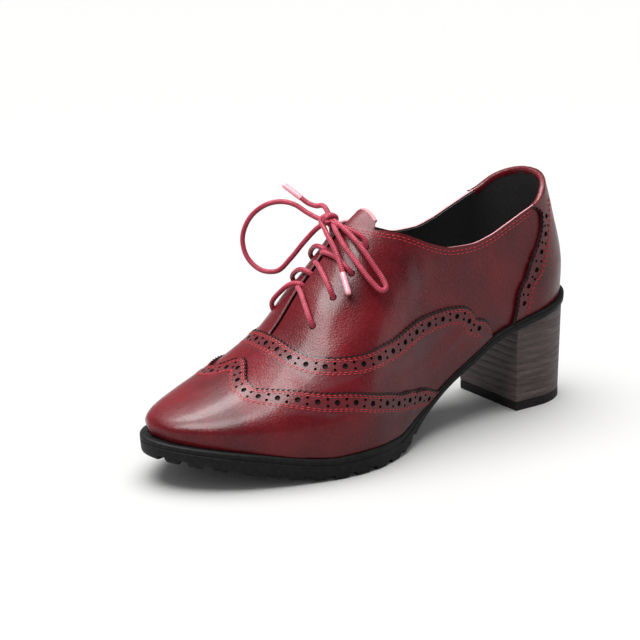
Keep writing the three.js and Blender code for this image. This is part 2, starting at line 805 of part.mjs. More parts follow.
// A round cord through points.
function cordShape(points, diameter) {
  const path = new THREE.CatmullRomCurve3(points, false, 'centripetal');
  const section = new THREE.Shape();
  section.absarc(0, 0, diameter / 2, 0, 2 * Math.PI);
  const steps = Math.min(80, Math.ceil(path.getLength() / (2 * laceDiameter)));
  const options = { steps, curveSegments: 4, bevelEnabled: false, extrudePath: path };
  const tube = new THREE.ExtrudeGeometry(section, options);
  tube.deleteAttribute('normal');
  tube.deleteAttribute('uv');
  return mergeVertices(tube, 0.001);
}

// The knot: a round lump, also as the space that the cords around it keep clear of.
function knotSolid(room) {
  const ball = new THREE.SphereGeometry(1, 14, 10);
  const [width, depth, height] = knotSize;
  const matrix = new THREE.Matrix4().makeScale(width / 2 + room, depth / 2 + room, height / 2 + room);
  matrix.setPosition(...knotPlace);
  return toolSolid(ball, matrix);
}

// A cord that starts at the knot, cut back to its surface.
function knottedCord(points) {
  const tube = cordShape(points.map((point) => new THREE.Vector3(...point)), laceDiameter);
  return fromManifold(toManifold(tube).subtract(knotSolid(fitGap)));
}

// The stiff tip of a lace's end, in line with the end.
function agletShape(end) {
  const tip = new THREE.Vector3(...end[end.length - 1]);
  const line = tip.clone().sub(new THREE.Vector3(...end[end.length - 2])).normalize();
  const rod = new THREE.CylinderGeometry(agletDiameter / 2, agletDiameter / 2, agletLength, 10);
  const turn = new THREE.Quaternion().setFromUnitVectors(new THREE.Vector3(0, 1, 0), line);
  const place = tip.addScaledVector(line, agletLength / 2 + fitGap);
  return fromManifold(toolSolid(rod, new THREE.Matrix4().compose(place, turn, new THREE.Vector3(1, 1, 1))));
}

const finish = {
  leather: { color: 0x6b1f28, roughness: 0.32 },
  rubber: { color: 0x1c1b1d, roughness: 0.7 },
  heelStack: { color: 0x3f3536, roughness: 0.55 },
  lining: { color: 0x1a1719, roughness: 0.85 },
  lace: { color: 0x8e2a3e, roughness: 0.6 },
  aglet: { color: 0xd9a9b0, roughness: 0.3 },
};

const group = new THREE.Group();

function add(name, geometry, look) {
  const mesh = new THREE.Mesh(geometry, new THREE.MeshStandardMaterial({ ...finish[look], metalness: 0 }));
  mesh.name = name;
  group.add(mesh);
}

const flatAt = (height) => () => height;
const underSeat = (share) => soleBottom(share) - fitGap;
const heelFoot = heelInset + heelTaper;

add('outsole', outsoleShape(), 'rubber');
add('heel', heelSolid(flatAt(topLiftThickness + fitGap), underSeat, heelFoot, heelInset), 'heelStack');
add('top_lift', heelSolid(flatAt(0), flatAt(topLiftThickness), heelFoot, heelFoot), 'rubber');
add('insole', insoleShape(), 'lining');
add('upper', punchedUpper(), 'leather');
add('vamp', vampShape(), 'leather');
add('wing_tip', wingShape(), 'leather');
add('counter', counterShape(), 'leather');
add('tongue', tongueShape(), 'leather');
eyeletRows.forEach((row, i) => {
  add(`lace_crossing_${i + 1}`, cordShape(crossingPoints(i), laceDiameter), 'lace');
});
add('lace_knot', fromManifold(knotSolid(0)), 'lace');
add('lace_loop_inner', knottedCord(innerLoop), 'lace');
add('lace_loop_outer', knottedCord(outerLoop), 'lace');
add('lace_end_inner', knottedCord(innerEnd), 'lace');
add('lace_end_outer', knottedCord(outerEnd), 'lace');
add('aglet_inner', agletShape(innerEnd), 'aglet');
add('aglet_outer', agletShape(outerEnd), 'aglet');

// The origin: the middle of the shoe without its free cords, at the floor.
const bounds = new THREE.Box3();
for (const mesh of group.children) {
  if (!/^(lace_(knot|loop|end)|aglet)/.test(mesh.name)) bounds.expandByObject(mesh, true);
}
const middle = bounds.getCenter(new THREE.Vector3());
for (const mesh of group.children) mesh.position.set(-middle.x, -middle.y, -bounds.min.z);

export default group;
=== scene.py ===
# %% [markdown]
# This lesson dresses one laced wing-tip shoe on a stacked heel. A shoemaker builds it on a last: the
# quarters and the lining are pulled over it, the vamp, wing tip and counter are stitched on top, and
# the sole, heel and lace come last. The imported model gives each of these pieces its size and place.
# Here each gets its fine surface, its edges, holes and stitches, and its finish.

# %% The frame
import json
import math
import random

import bmesh
import bpy
import numpy as np
from mathutils import Matrix, Vector

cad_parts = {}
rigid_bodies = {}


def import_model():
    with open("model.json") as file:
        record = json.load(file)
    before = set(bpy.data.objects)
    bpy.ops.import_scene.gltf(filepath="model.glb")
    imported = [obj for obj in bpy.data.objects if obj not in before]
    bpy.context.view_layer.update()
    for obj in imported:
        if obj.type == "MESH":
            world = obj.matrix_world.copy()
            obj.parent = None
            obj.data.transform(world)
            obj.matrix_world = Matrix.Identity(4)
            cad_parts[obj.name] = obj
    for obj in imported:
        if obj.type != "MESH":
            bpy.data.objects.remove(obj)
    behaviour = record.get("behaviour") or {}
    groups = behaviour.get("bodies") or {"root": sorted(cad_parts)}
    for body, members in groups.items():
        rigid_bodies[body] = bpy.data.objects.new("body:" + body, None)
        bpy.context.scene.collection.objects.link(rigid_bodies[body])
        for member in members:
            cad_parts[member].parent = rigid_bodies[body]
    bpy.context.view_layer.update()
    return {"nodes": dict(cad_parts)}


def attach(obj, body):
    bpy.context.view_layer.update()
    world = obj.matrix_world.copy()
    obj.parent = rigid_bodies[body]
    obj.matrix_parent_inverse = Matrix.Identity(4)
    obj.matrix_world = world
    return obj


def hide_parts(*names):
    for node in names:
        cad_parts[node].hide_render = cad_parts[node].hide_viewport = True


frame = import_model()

dice = random.Random(12)

# %% [markdown]
# The camera stands where a product photographer puts it, low, ahead of the shoe on its outer side,
# with a long lens. The lens is shifted a little and not turned, so the shoe keeps its perspective
# while it moves in the picture.

# %% The camera
view_azimuth = math.radians(147.18)
view_elevation = math.radians(18.2)
view_roll = math.radians(-1.93)
view_distance = 0.8
view_target = Vector((0.0, -0.00275, 0.03))
view_lens = 89.9
view_shift = (-0.07, 0.0845)

camera_data = bpy.data.cameras.new("camera")
camera_data.lens = view_lens
camera_data.shift_x, camera_data.shift_y = view_shift
camera_data.clip_start = 0.05
camera_data.clip_end = 60
camera = bpy.data.objects.new("camera", camera_data)
bpy.context.scene.collection.objects.link(camera)
bpy.context.scene.camera = camera
flat_share = math.cos(view_elevation)
view_back = Vector((
    math.sin(view_azimuth) * flat_share,
    -math.cos(view_azimuth) * flat_share,
    math.sin(view_elevation),
))
camera.location = view_target + view_back * view_distance
turned = (-view_back).to_track_quat("-Z", "Y")
rolled = Matrix.Rotation(view_roll, 4, "Z")
camera.matrix_world = Matrix.Translation(camera.location) @ turned.to_matrix().to_4x4() @ rolled
print("camera:", [round(x, 3) for x in camera.location])

# %% [markdown]
# The last is the wooden foot that the shoe is built on. One function gives any point of its surface,
# from tables of sections, so that every piece of leather, each stitch and each hole can be laid on
# it. A table row is a share along the shoe, and a smooth line without overshoot runs through it.
# Working with whole arrays of points keeps this quick.

# %% Sizes of the shoe in millimetres
mm = 0.001
shoe_length = 242
ball_width = 90
toe_spring = 14.5
seat_height = 53.5
instep_height = 108.5
collar_height = 120.5
sole_thickness = 10.8
rim_thickness = 4.3
heel_round = 29
toe_round = 50
toe_crown_round = 32
back_curve = 12.5
back_swell = 1.6
toe_lean = 1.2
last_start = 3.2
last_length = shoe_length - last_start - 5.6
lower_share = 0.2
throat_share = 0.7324
throat_gap = 4.2
fit_gap = 0.3
wall = 1.8
heel_line = -2.75
to_frame = np.array([-shoe_length / 2, heel_line, 0])

# %% Tables of the sole and the last
# along, centre line, outer half width, inner half width: shares of the ball width
outline_rows = [
    (0.0, 0.0, 0.305, 0.305), (0.12, 0.0, 0.305, 0.305), (0.25, 0.0, 0.302, 0.289),
    (0.35, 0.0, 0.312, 0.266), (0.434, 0.0, 0.356, 0.288), (0.475, -0.002, 0.405, 0.313),
    (0.54, -0.006, 0.488, 0.365), (0.603, -0.01, 0.55, 0.42), (0.645, -0.014, 0.563, 0.442),
    (0.682, -0.016, 0.558, 0.456), (0.723, -0.02, 0.538, 0.467), (0.785, -0.027, 0.495, 0.458),
    (0.83, -0.033, 0.462, 0.432), (0.89, -0.04, 0.432, 0.393), (0.94, -0.043, 0.402, 0.364),
    (1.0, -0.045, 0.364, 0.329),
]
# along, height of arch and seat as a share of seat_height, height of the toe spring
bottom_rows = [
    (0.0, 1.0, 0.0), (0.09, 0.917, 0.0), (0.182, 0.83, 0.0), (0.24, 0.75, 0.0), (0.3, 0.605, 0.0),
    (0.36, 0.465, 0.0), (0.42, 0.305, 0.0), (0.465, 0.172, 0.0), (0.5, 0.06, 0.0),
    (0.54, 0.0, 0.0), (0.69, 0.0, 0.0), (0.727, 0.0, 0.06), (0.764, 0.0, 0.17),
    (0.814, 0.0, 0.36), (0.864, 0.0, 0.55), (0.93, 0.0, 0.78), (1.0, 0.0, 1.0),
]
# along, share of the way from rim_thickness to sole_thickness
thickness_rows = [
    (0.0, 0.0), (0.36, 0.03), (0.43, 0.14), (0.465, 0.5), (0.5, 0.9), (0.54, 1.0), (0.8, 0.96),
    (0.9, 0.84), (1.0, 0.7),
]
# along, half width at the sole, at the widest, height of the widest, crown, squareness
section_rows = [
    (0.0, 0.9, 0.955, 0.225, 1.45, 2.9), (0.12, 0.9, 0.955, 0.225, 1.42, 2.9),
    (0.25, 0.93, 1.0, 0.215, 1.35, 2.8), (0.36, 0.94, 1.02, 0.195, 1.26, 2.6),
    (0.43, 0.93, 1.0, 0.185, 1.18, 2.35), (0.49, 0.925, 0.965, 0.165, 1.085, 2.05),
    (0.545, 0.925, 0.95, 0.15, 1.0, 1.85), (0.612, 0.925, 0.945, 0.137, 0.843, 1.75),
    (0.66, 0.925, 0.945, 0.127, 0.735, 1.78), (0.719, 0.925, 0.945, 0.117, 0.58, 1.9),
    (0.776, 0.915, 0.94, 0.107, 0.475, 2.05), (0.83, 0.91, 0.935, 0.098, 0.398, 2.1),
    (0.88, 0.9, 0.925, 0.088, 0.356, 2.02), (0.93, 0.89, 0.92, 0.074, 0.328, 1.95),
    (1.0, 0.88, 0.91, 0.05, 0.308, 1.9),
]
# along, height of the collar and the facings as a share of collar_height
topline_rows = [
    (0.0, 1.0), (0.05, 0.957), (0.1, 0.902), (0.15, 0.868), (0.2, 0.833), (0.25, 0.799),
    (0.3, 0.781), (0.35, 0.783), (0.4, 0.811), (0.45, 0.856), (0.475, 0.874), (0.51, 0.886),
    (0.545, 0.898), (0.6, 0.94),
]
# over the section, along the last: the edges of the panels
wing_edge_rows = [
    (0.0, 0.405), (0.05, 0.42), (0.19, 0.48), (0.28, 0.563), (0.35, 0.632), (0.425, 0.695),
    (0.506, 0.743), (0.606, 0.785), (0.66, 0.802), (0.73, 0.816), (0.8, 0.816), (0.87, 0.807),
    (0.92, 0.796), (0.97, 0.787), (1.0, 0.784),
]
vamp_edge_rows = [
    (0.0, 0.245), (0.06, 0.251), (0.125, 0.264), (0.18, 0.284), (0.225, 0.315), (0.26, 0.355),
    (0.305, 0.407), (0.38, 0.485), (0.445, 0.573), (0.5, 0.635), (0.56, 0.675), (0.67, 0.71),
    (0.77, 0.723), (0.9, 0.728), (1.0, 0.73),
]
counter_edge_rows = [
    (0.0, 0.19), (0.14, 0.184), (0.38, 0.18), (0.55, 0.168), (0.63, 0.142), (0.72, 0.115),
    (0.81, 0.099), (0.88, 0.096), (0.94, 0.105), (1.0, 0.122),
]


# %% A smooth line through a table
def line_through(rows, column=1):
    places = np.array([row[0] for row in rows])
    heights = np.array([row[column] for row in rows])
    steps = np.diff(places)
    rises = np.diff(heights) / steps
    slopes = np.zeros(len(rows))
    slopes[0] = rises[0]
    slopes[-1] = rises[-1]
    before = rises[:-1]
    after = rises[1:]
    same_way = before * after > 0
    a = 2 * steps[1:] + steps[:-1]
    b = steps[1:] + 2 * steps[:-1]
    safe_before = np.where(same_way, before, 1)
    safe_after = np.where(same_way, after, 1)
    slopes[1:-1] = np.where(same_way, (a + b) / (a / safe_before + b / safe_after), 0)

    def at(along):
        place = np.clip(along, places[0], places[-1])
        i = np.clip(np.searchsorted(places, place, side="right") - 1, 0, len(steps) - 1)
        h = steps[i]
        t = (place - places[i]) / h
        start = heights[i] * (1 + 2 * t) * (1 - t) ** 2 + slopes[i] * h * t * (1 - t) ** 2
        end = heights[i + 1] * t * t * (3 - 2 * t) + slopes[i + 1] * h * t * t * (t - 1)
        return start + end

    return at


centre_share, outer_half, inner_half = (line_through(outline_rows, i) for i in (1, 2, 3))
seat_rise, spring_rise = (line_through(bottom_rows, i) for i in (1, 2))
thickness_share = line_through(thickness_rows)
foot_width, widest_width, widest_height, crown_height, squareness = (
    line_through(section_rows, i) for i in range(1, 6)
)
topline = line_through(topline_rows)
wing_edge = line_through(wing_edge_rows)
vamp_edge = line_through(vamp_edge_rows)
counter_edge = line_through(counter_edge_rows)


def round_end(distance, radius):
    return np.sqrt(np.clip(1 - (1 - np.minimum(distance / radius, 1)) ** 2, 0, 1))


def smooth_step(start, end, value):
    t = np.clip((value - start) / (end - start), 0, 1)
    return t * t * (3 - 2 * t)


def sole_bottom(along):
    return seat_rise(along) * seat_height + spring_rise(along) * toe_spring


def sole_top(along):
    rise = thickness_share(along) * (sole_thickness - rim_thickness)
    return sole_bottom(along) + rim_thickness + rise


print("sole at the ball:", float(sole_top(0.6)), "mm thick")


# %% The surface of the last
def last_point(along, side, over):
    s = np.clip(along, 0, 1)
    sole_along = (last_start + s * last_length) / shoe_length
    ends = round_end(s * last_length, heel_round) * round_end((1 - s) * last_length, toe_round)
    half = np.where(side > 0, outer_half(sole_along), inner_half(sole_along))
    full = half * ball_width * ends
    feather = foot_width(s) * full
    widest = widest_width(s) * full
    low = sole_top(sole_along) + fit_gap
    middle = low + widest_height(s) * ball_width
    crown = (crown_height(s) * instep_height - middle) * round_end((1 - s) * last_length, toe_crown_round)
    power = 2 / squareness(s)
    q = np.clip(over / lower_share, 0, 1)
    angle = np.clip((over - lower_share) / (1 - lower_share), 0, 1) * (math.pi / 2)
    is_low = over < lower_share
    y = np.where(
        is_low,
        widest - (widest - feather) * (1 - q) ** 2,
        widest * np.maximum(np.cos(angle), 0) ** power,
    )
    z = np.where(is_low, low + (middle - low) * q, middle + crown * np.sin(angle) ** power)
    forward = np.where(is_low, -toe_lean * (1 - q) ** 2 * smooth_step(0.85, 1, s), 0)
    rise = np.clip((z - seat_height) / (collar_height - seat_height), 0, 1)
    back = back_curve * rise**1.9 - back_swell * np.sin(np.pi * np.minimum(1, rise * 1.4)) ** 2
    fade = np.maximum(0, 1 - s / 0.42) ** 2
    x = last_start + s * last_length + back * fade + forward
    centre = centre_share(sole_along) * ball_width
    return np.stack([x, centre + side * y, z], axis=-1)


def unit(vectors):
    length = np.linalg.norm(vectors, axis=-1, keepdims=True)
    return vectors / np.maximum(length, 1e-9)


def last_normal(along, side, over):
    s = np.clip(along, 0.0015, 0.9985)
    on_seam = along <= 0.0005
    on_crown = over >= 0.9995
    base = np.where(on_seam, 0, s)
    above = last_point(base, side, np.clip(over + 0.004, 0.006, 0.998))
    upwards = above - last_point(base, side, np.clip(over - 0.004, 0, 0.99))
    level = np.where(on_crown, 1, np.minimum(over, 0.998))
    ahead = last_point(np.clip(along + 0.002, 0, 1), side, level)
    forwards = ahead - last_point(np.clip(along - 0.002, 0, 1), side, level)
    normal = np.cross(forwards, upwards) * -np.asarray(side)[..., None]
    zero = np.zeros_like(upwards[..., 0])
    seam_normal = np.stack([-upwards[..., 2], zero, upwards[..., 0]], axis=-1)
    crown_normal = np.stack([-forwards[..., 2], zero, forwards[..., 0]], axis=-1)
    normal = np.where(on_crown[..., None], crown_normal, normal)
    normal = np.where(on_seam[..., None], seam_normal, normal)
    tip_normal = np.zeros_like(normal)
    tip_normal[..., 0] = 1
    return unit(np.where((along >= 0.9995)[..., None], tip_normal, normal))


# %% [markdown]
# New leather on a last isn't perfectly even. The facings lift a little between the eyelets, the quarter sinks where
# it passes from the arch to the ball, and the vamp breaks softly at the ball of the foot. These few soft troughs and
# ridges are listed in a table, and each fades out smoothly, so they move the highlights and not the outline.

# %% Soft troughs and ridges
# side, along, over, reach along, reach over, height in millimetres
soft_rows = [
    (1, 0.655, 0.79, 0.016, 0.07, 0.45),
    (1, 0.605, 0.79, 0.015, 0.07, 0.4),
    (1, 0.561, 0.79, 0.014, 0.07, 0.35),
    (-1, 0.655, 0.79, 0.016, 0.07, 0.4),
    (-1, 0.605, 0.79, 0.015, 0.07, 0.4),
    (1, 0.62, 0.62, 0.07, 0.06, -0.5),
    (1, 0.43, 0.42, 0.09, 0.16, -0.7),
    (-1, 0.43, 0.42, 0.09, 0.16, -0.6),
    (1, 0.735, 0.6, 0.02, 0.16, -0.3),
    (-1, 0.735, 0.6, 0.02, 0.16, -0.3),
    (1, 0.24, 0.6, 0.05, 0.2, -0.4),
]


def soft_relief(along, side, over):
    height = np.zeros(np.broadcast(along, over).shape)
    for its_side, at, up, reach_along, reach_over, rise in soft_rows:
        far = ((along - at) / reach_along) ** 2 + ((over - up) / reach_over) ** 2
        height = height + np.where(side == its_side, rise * np.exp(-far), 0)
    return height


def skin_point(along, side, over, offset=0.0):
    """A point in the part's frame, in millimetres, at an offset from the upper's outer face."""
    along, side, over = np.broadcast_arrays(np.asarray(along, float), side, over)
    point = last_point(along, side, over)
    out = offset + soft_relief(along, side, over)
    point = point + last_normal(along, side, over) * np.broadcast_to(out, along.shape)[..., None]
    lowest = sole_top(np.clip(point[..., 0] / shoe_length, 0, 1)) + fit_gap
    point[..., 2] = np.maximum(point[..., 2], lowest)
    return point + to_frame


def opening_edge(along, side):
    """How far over the section the collar and the facings reach."""
    sole_along = (last_start + along * last_length) / shoe_length
    middle_point = last_point(along, side, lower_share)
    full = np.abs(middle_point[..., 1] - centre_share(sole_along) * ball_width)
    crown = last_point(along, side, 1.0)[..., 2]
    middle = middle_point[..., 2]
    power = squareness(along) / 2
    rise = np.clip((topline(along) * collar_height - middle) / np.maximum(crown - middle, 1e-6), 0, 1)
    collar_angle = np.arcsin(rise**power)
    half_gap = throat_gap / 2 * round_end(np.maximum(throat_share - along, 0) * last_length, throat_gap / 2)
    gap_angle = np.arccos(np.clip(half_gap / np.maximum(full, 1), 0, 1) ** power)
    angle = np.where(along > throat_share / 2, np.minimum(collar_angle, gap_angle), collar_angle)
    edge = lower_share + (1 - lower_share) * angle / (math.pi / 2)
    return np.where(along >= throat_share, 1.0, edge)


def over_at(along, side, distance):
    """How far over the section a point is that lies a distance from the crown line."""
    sole_along = (last_start + along * last_length) / shoe_length
    middle = last_point(along, side, lower_share)[..., 1]
    full = np.abs(middle - centre_share(sole_along) * ball_width)
    angle = np.arccos(np.clip(distance / full, 0, 1) ** (squareness(along) / 2))
    return lower_share + (1 - lower_share) * angle / (math.pi / 2)


print("toe tip:", skin_point(1.0, 1.0, 0.1).round(1))

# %% [markdown]
# Colours are written as the hex values that a screen shows, and one function turns them to the
# linear values that Blender works in. A second function adds a node with its settings and links, so
# that each material below reads as a list of what it is made of.

# %% Colours and nodes
def linear(code):
    values = [int(code[i : i + 2], 16) / 255 for i in (1, 3, 5)]
    return tuple(v / 12.92 if v <= 0.04045 else ((v + 0.055) / 1.055) ** 2.4 for v in values) + (1.0,)


def add(tree, kind, links=None, **settings):
    """A new node. links gives sockets that other nodes feed; settings are properties or values."""
    node = tree.nodes.new(kind)
    for name, value in settings.items():
        socket_name = name.replace("_", " ").title()
        if socket_name in node.inputs and name not in ("operation", "blend_type", "data_type"):
            node.inputs[socket_name].default_value = value
        else:
            setattr(node, name, value)
    for name, socket in (links or {}).items():
        tree.links.new(socket, node.inputs[name])
    return node


def new_material(name, **settings):
    """A material with one Principled shader, whose constant values are set on its own sockets."""
    material = bpy.data.materials.new(name)
    material.use_nodes = True
    tree = material.node_tree
    shader = tree.nodes["Principled BSDF"]
    for key, value in settings.items():
        shader.inputs[key].default_value = value
    return material, tree, shader


def mixed(tree, share, first, second, blend_type="MIX"):
    """The colour between two colours or sockets, at a share."""
    node = tree.nodes.new("ShaderNodeMix")
    node.data_type = "RGBA"
    node.blend_type = blend_type
    for socket, value in ((node.inputs[0], share), (node.inputs[6], first), (node.inputs[7], second)):
        if isinstance(value, bpy.types.NodeSocket):
            tree.links.new(value, socket)
        else:
            socket.default_value = value
    return node.outputs[2]


def ranged(tree, value, low, high, to_low, to_high):
    """A value carried from one range to another, and kept inside it."""
    node = tree.nodes.new("ShaderNodeMapRange")
    tree.links.new(value, node.inputs[0])
    for i, number in enumerate((low, high, to_low, to_high)):
        node.inputs[i + 1].default_value = number
    return node.outputs[0]


def noise(tree, place, size_mm, detail=2.0, roughness=0.5):
    node = add(tree, "ShaderNodeTexNoise", {"Vector": place}, scale=1 / (size_mm * mm), detail=detail)
    node.inputs["Roughness"].default_value = roughness
    return node.outputs["Fac"]


def bumped(tree, height, depth_mm, strength=1.0, under=None):
    node = add(tree, "ShaderNodeBump", {"Height": height}, strength=strength, distance=depth_mm * mm)
    if under is not None:
        tree.links.new(under, node.inputs["Normal"])
    return node.outputs["Normal"]


def object_place(tree):
    return tree.nodes.new("ShaderNodeTexCoord").outputs["Object"]


# %% [markdown]
# The upper is corrected-grain calf: the hide is sanded, coloured with pigment, printed with a fine
# grain and polished. That gives a deep wine red, darker where the polish has pooled, a fine pore
# relief that breaks the highlights into speckles, and a clear coat of wax over it.

# %% Polished calf
wine = linear("#560710")
wine_deep = linear("#340308")
wine_worn = linear("#701f2a")


def polished_calf(name, with_band):
    finish = {"Specular IOR Level": 0.21, "Coat Weight": 0.12, "Coat Roughness": 0.14}
    material, tree, shader = new_material(name, **finish)
    place = object_place(tree)
    cloud = ranged(tree, noise(tree, place, 26, 3), 0.38, 0.66, 0, 0.8)
    colour = mixed(tree, cloud, wine, wine_deep)
    fine = ranged(tree, noise(tree, place, 1.4, 3), 0.45, 0.8, 0, 0.3)
    colour = mixed(tree, fine, colour, wine_worn)
    if with_band:
        colour = banded(tree, colour)
    tree.links.new(colour, shader.inputs["Base Color"])
    gloss = ranged(tree, noise(tree, place, 9, 2), 0.35, 0.7, 0.3, 0.4)
    tree.links.new(gloss, shader.inputs["Roughness"])
    # the real pores are about half a millimetre apart, and are drawn at twice that to show at all
    pores = add(tree, "ShaderNodeTexVoronoi", {"Vector": place}, scale=1 / (1.05 * mm)).outputs["Distance"]
    relief = bumped(tree, pores, 0.1, 0.7)
    relief = bumped(tree, noise(tree, place, 0.8, 3), 0.2, 0.6, relief)
    relief = bumped(tree, noise(tree, place, 14, 2), 0.3, 0.3, relief)
    tree.links.new(relief, shader.inputs["Normal"])
    return material


# %% [markdown]
# A panel's own map gives the distance from its gimped edge in millimetres. The pinking tool leaves
# the very edge dark, and the band with the holes is burnished to a greyer tone by the punch and the
# brush, so the material mixes these two in by that distance.

# %% The band beside a gimped edge
band_width = 8.6
map_scale = 0.01


def banded(tree, colour):
    band_map = add(tree, "ShaderNodeUVMap", uv_map="edge").outputs["UV"]
    split = add(tree, "ShaderNodeSeparateXYZ", {"Vector": band_map})
    distance = split.outputs["Y"]
    inside = ranged(tree, distance, band_width * map_scale, (band_width - 1.6) * map_scale, 0, 1)
    place = object_place(tree)
    patchy = ranged(tree, noise(tree, place, 5, 3), 0.3, 0.7, 0.25, 0.7)
    share = add(tree, "ShaderNodeMath", {0: inside, 1: patchy}, operation="MULTIPLY").outputs[0]
    colour = mixed(tree, share, colour, linear("#4c2529"))
    rim = ranged(tree, distance, 0.3 * map_scale, 0.9 * map_scale, 0.95, 0)
    return mixed(tree, rim, colour, linear("#170a0b"))


calf = polished_calf("polished_calf", False)
banded_calf = polished_calf("polished_calf_with_burnished_band", True)

# %% [markdown]
# Where the knife cut the leather its fibres show: pale pink on the plain trimmed edges of the collar
# and the facings, nearly black where the pinking and punching tools were inked.

# %% Cut edges, lining, thread
def plain_finish(name, colour_a, colour_b, size_mm, rough, depth_mm, **settings):
    """A matte material that varies between two colours, with a relief of the same grain size."""
    material, tree, shader = new_material(name, Roughness=rough, **settings)
    place = object_place(tree)
    grain = noise(tree, place, size_mm, 4)
    colour = mixed(tree, ranged(tree, grain, 0.35, 0.65, 0, 1), linear(colour_a), linear(colour_b))
    tree.links.new(colour, shader.inputs["Base Color"])
    tree.links.new(bumped(tree, grain, depth_mm, 0.6), shader.inputs["Normal"])
    return material


pale_edge = plain_finish("trimmed_leather_edge", "#b88187", "#93595f", 0.5, 0.7, 0.05)
inked_edge = plain_finish("inked_leather_edge", "#0e0607", "#1c0c0e", 0.6, 0.75, 0.05, **{"Specular IOR Level": 0.2})
lining_skin = plain_finish("black_lining_skin", "#121011", "#1d1a1b", 1.2, 0.62, 0.04)
sock_skin = plain_finish("black_sock_skin", "#161415", "#242021", 1.0, 0.5, 0.04)
thread = plain_finish("waxed_red_thread", "#95101b", "#a81a27", 0.4, 0.45, 0.03)
tongue_skin = plain_finish("tongue_calf", "#4a0c13", "#5f1520", 1.5, 0.42, 0.05, **{"Specular IOR Level": 0.3})

# %% [markdown]
# The outsole is moulded black rubber with a faint bloom. The heel is stacked leather board, stained
# grey brown and waxed: each lift is about four millimetres thick, its fibres run level, and a dark
# line of glue shows between two lifts.

# %% Rubber and stacked leather
faint = {"Specular IOR Level": 0.14}
rubber = plain_finish("moulded_rubber", "#0b0b0c", "#151516", 2.5, 0.55, 0.06, **faint)
lift_rubber = plain_finish("top_lift_rubber", "#131011", "#1d1a1a", 1.6, 0.6, 0.06, **faint)
lift_pitch = 4.0


def stacked_leather():
    material, tree, shader = new_material("stacked_heel_board", **{"Specular IOR Level": 0.3})
    place = object_place(tree)
    stretched = add(tree, "ShaderNodeMapping", {"Vector": place})
    stretched.inputs["Scale"].default_value = (0.12, 0.12, 1.0)
    fibres = noise(tree, stretched.outputs[0], 0.45, 5, 0.7)
    streaks = noise(tree, stretched.outputs[0], 2.2, 3, 0.6)
    colour = mixed(tree, ranged(tree, streaks, 0.3, 0.7, 0, 1), linear("#332726"), linear("#5c4c4b"))
    dark = ranged(tree, fibres, 0.35, 0.62, 0.65, 0)
    colour = mixed(tree, dark, colour, linear("#1b1516"))
    tree.links.new(colour, shader.inputs["Base Color"])
    tree.links.new(ranged(tree, fibres, 0.3, 0.7, 0.42, 0.6), shader.inputs["Roughness"])
    relief = bumped(tree, fibres, 0.08, 0.5)
    tree.links.new(relief, shader.inputs["Normal"])
    return material


heel_board = stacked_leather()

# %% [markdown]
# The lace is a round cord, braided from waxed cotton. Its strands cross at a slant, so the relief is a lattice drawn
# on the cord's own map, whose first number runs round the cord and whose second runs along it. The same lattice
# paints the grooves between the strands darker, as painted shade. The tips are pale plastic sleeves.

# %% Braided lace and its tips
braid_turns = 6
braid_pitch = 2.0


def braided_cord():
    waxed = {"Specular IOR Level": 0.3, "Sheen Weight": 0.1}
    material, tree, shader = new_material("waxed_braid", Roughness=0.45, **waxed)
    cord_map = add(tree, "ShaderNodeUVMap", uv_map="edge").outputs["UV"]
    split = add(tree, "ShaderNodeSeparateXYZ", {"Vector": cord_map})
    waves = []
    for slant in (1, -1):
        across = add(tree, "ShaderNodeMath", {0: split.outputs["X"]}, operation="MULTIPLY")
        across.inputs[1].default_value = slant * braid_turns * 2 * math.pi
        down = add(tree, "ShaderNodeMath", {0: split.outputs["Y"]}, operation="MULTIPLY")
        down.inputs[1].default_value = 2 * math.pi / (braid_pitch * map_scale)
        both = add(tree, "ShaderNodeMath", {0: across.outputs[0], 1: down.outputs[0]}, operation="ADD")
        waves.append(add(tree, "ShaderNodeMath", {0: both.outputs[0]}, operation="SINE").outputs[0])
    weave = add(tree, "ShaderNodeMath", {0: waves[0], 1: waves[1]}, operation="MULTIPLY").outputs[0]
    place = object_place(tree)
    worn = ranged(tree, noise(tree, place, 6, 2), 0.35, 0.7, 0, 1)
    colour = mixed(tree, worn, linear("#8a1830"), linear("#a02c45"))
    # the grooves of the lattice are painted darker: painted shade between the strands
    painted_groove_shade = ranged(tree, weave, -1, 1, 0.45, 0)
    colour = mixed(tree, painted_groove_shade, colour, linear("#560b1a"))
    tree.links.new(colour, shader.inputs["Base Color"])
    tree.links.new(bumped(tree, weave, 0.12, 0.7), shader.inputs["Normal"])
    return material


lace_cord = braided_cord()
tip_plastic = plain_finish("tip_plastic", "#c67f8b", "#cd8d97", 1.5, 0.28, 0.02)
print("materials:", len(bpy.data.materials))

# %% [markdown]
# Every piece ends the same way: its bmesh becomes an object at the origin, rides on the shoe's one body, takes its
# materials and hides the solids that it stands for. Faces that meet at a clear angle are kept sharp.

# %% Finishing a piece
def settle(piece):
    """Applies the piece's modifiers, so that its mesh is its final shape."""
    bpy.context.view_layer.update()
    graph = bpy.context.evaluated_depsgraph_get()
    made = bpy.data.meshes.new_from_object(
        piece.evaluated_get(graph), preserve_all_data_layers=True, depsgraph=graph
    )
    old = piece.data
    piece.modifiers.clear()
    piece.data = made
    bpy.data.meshes.remove(old)


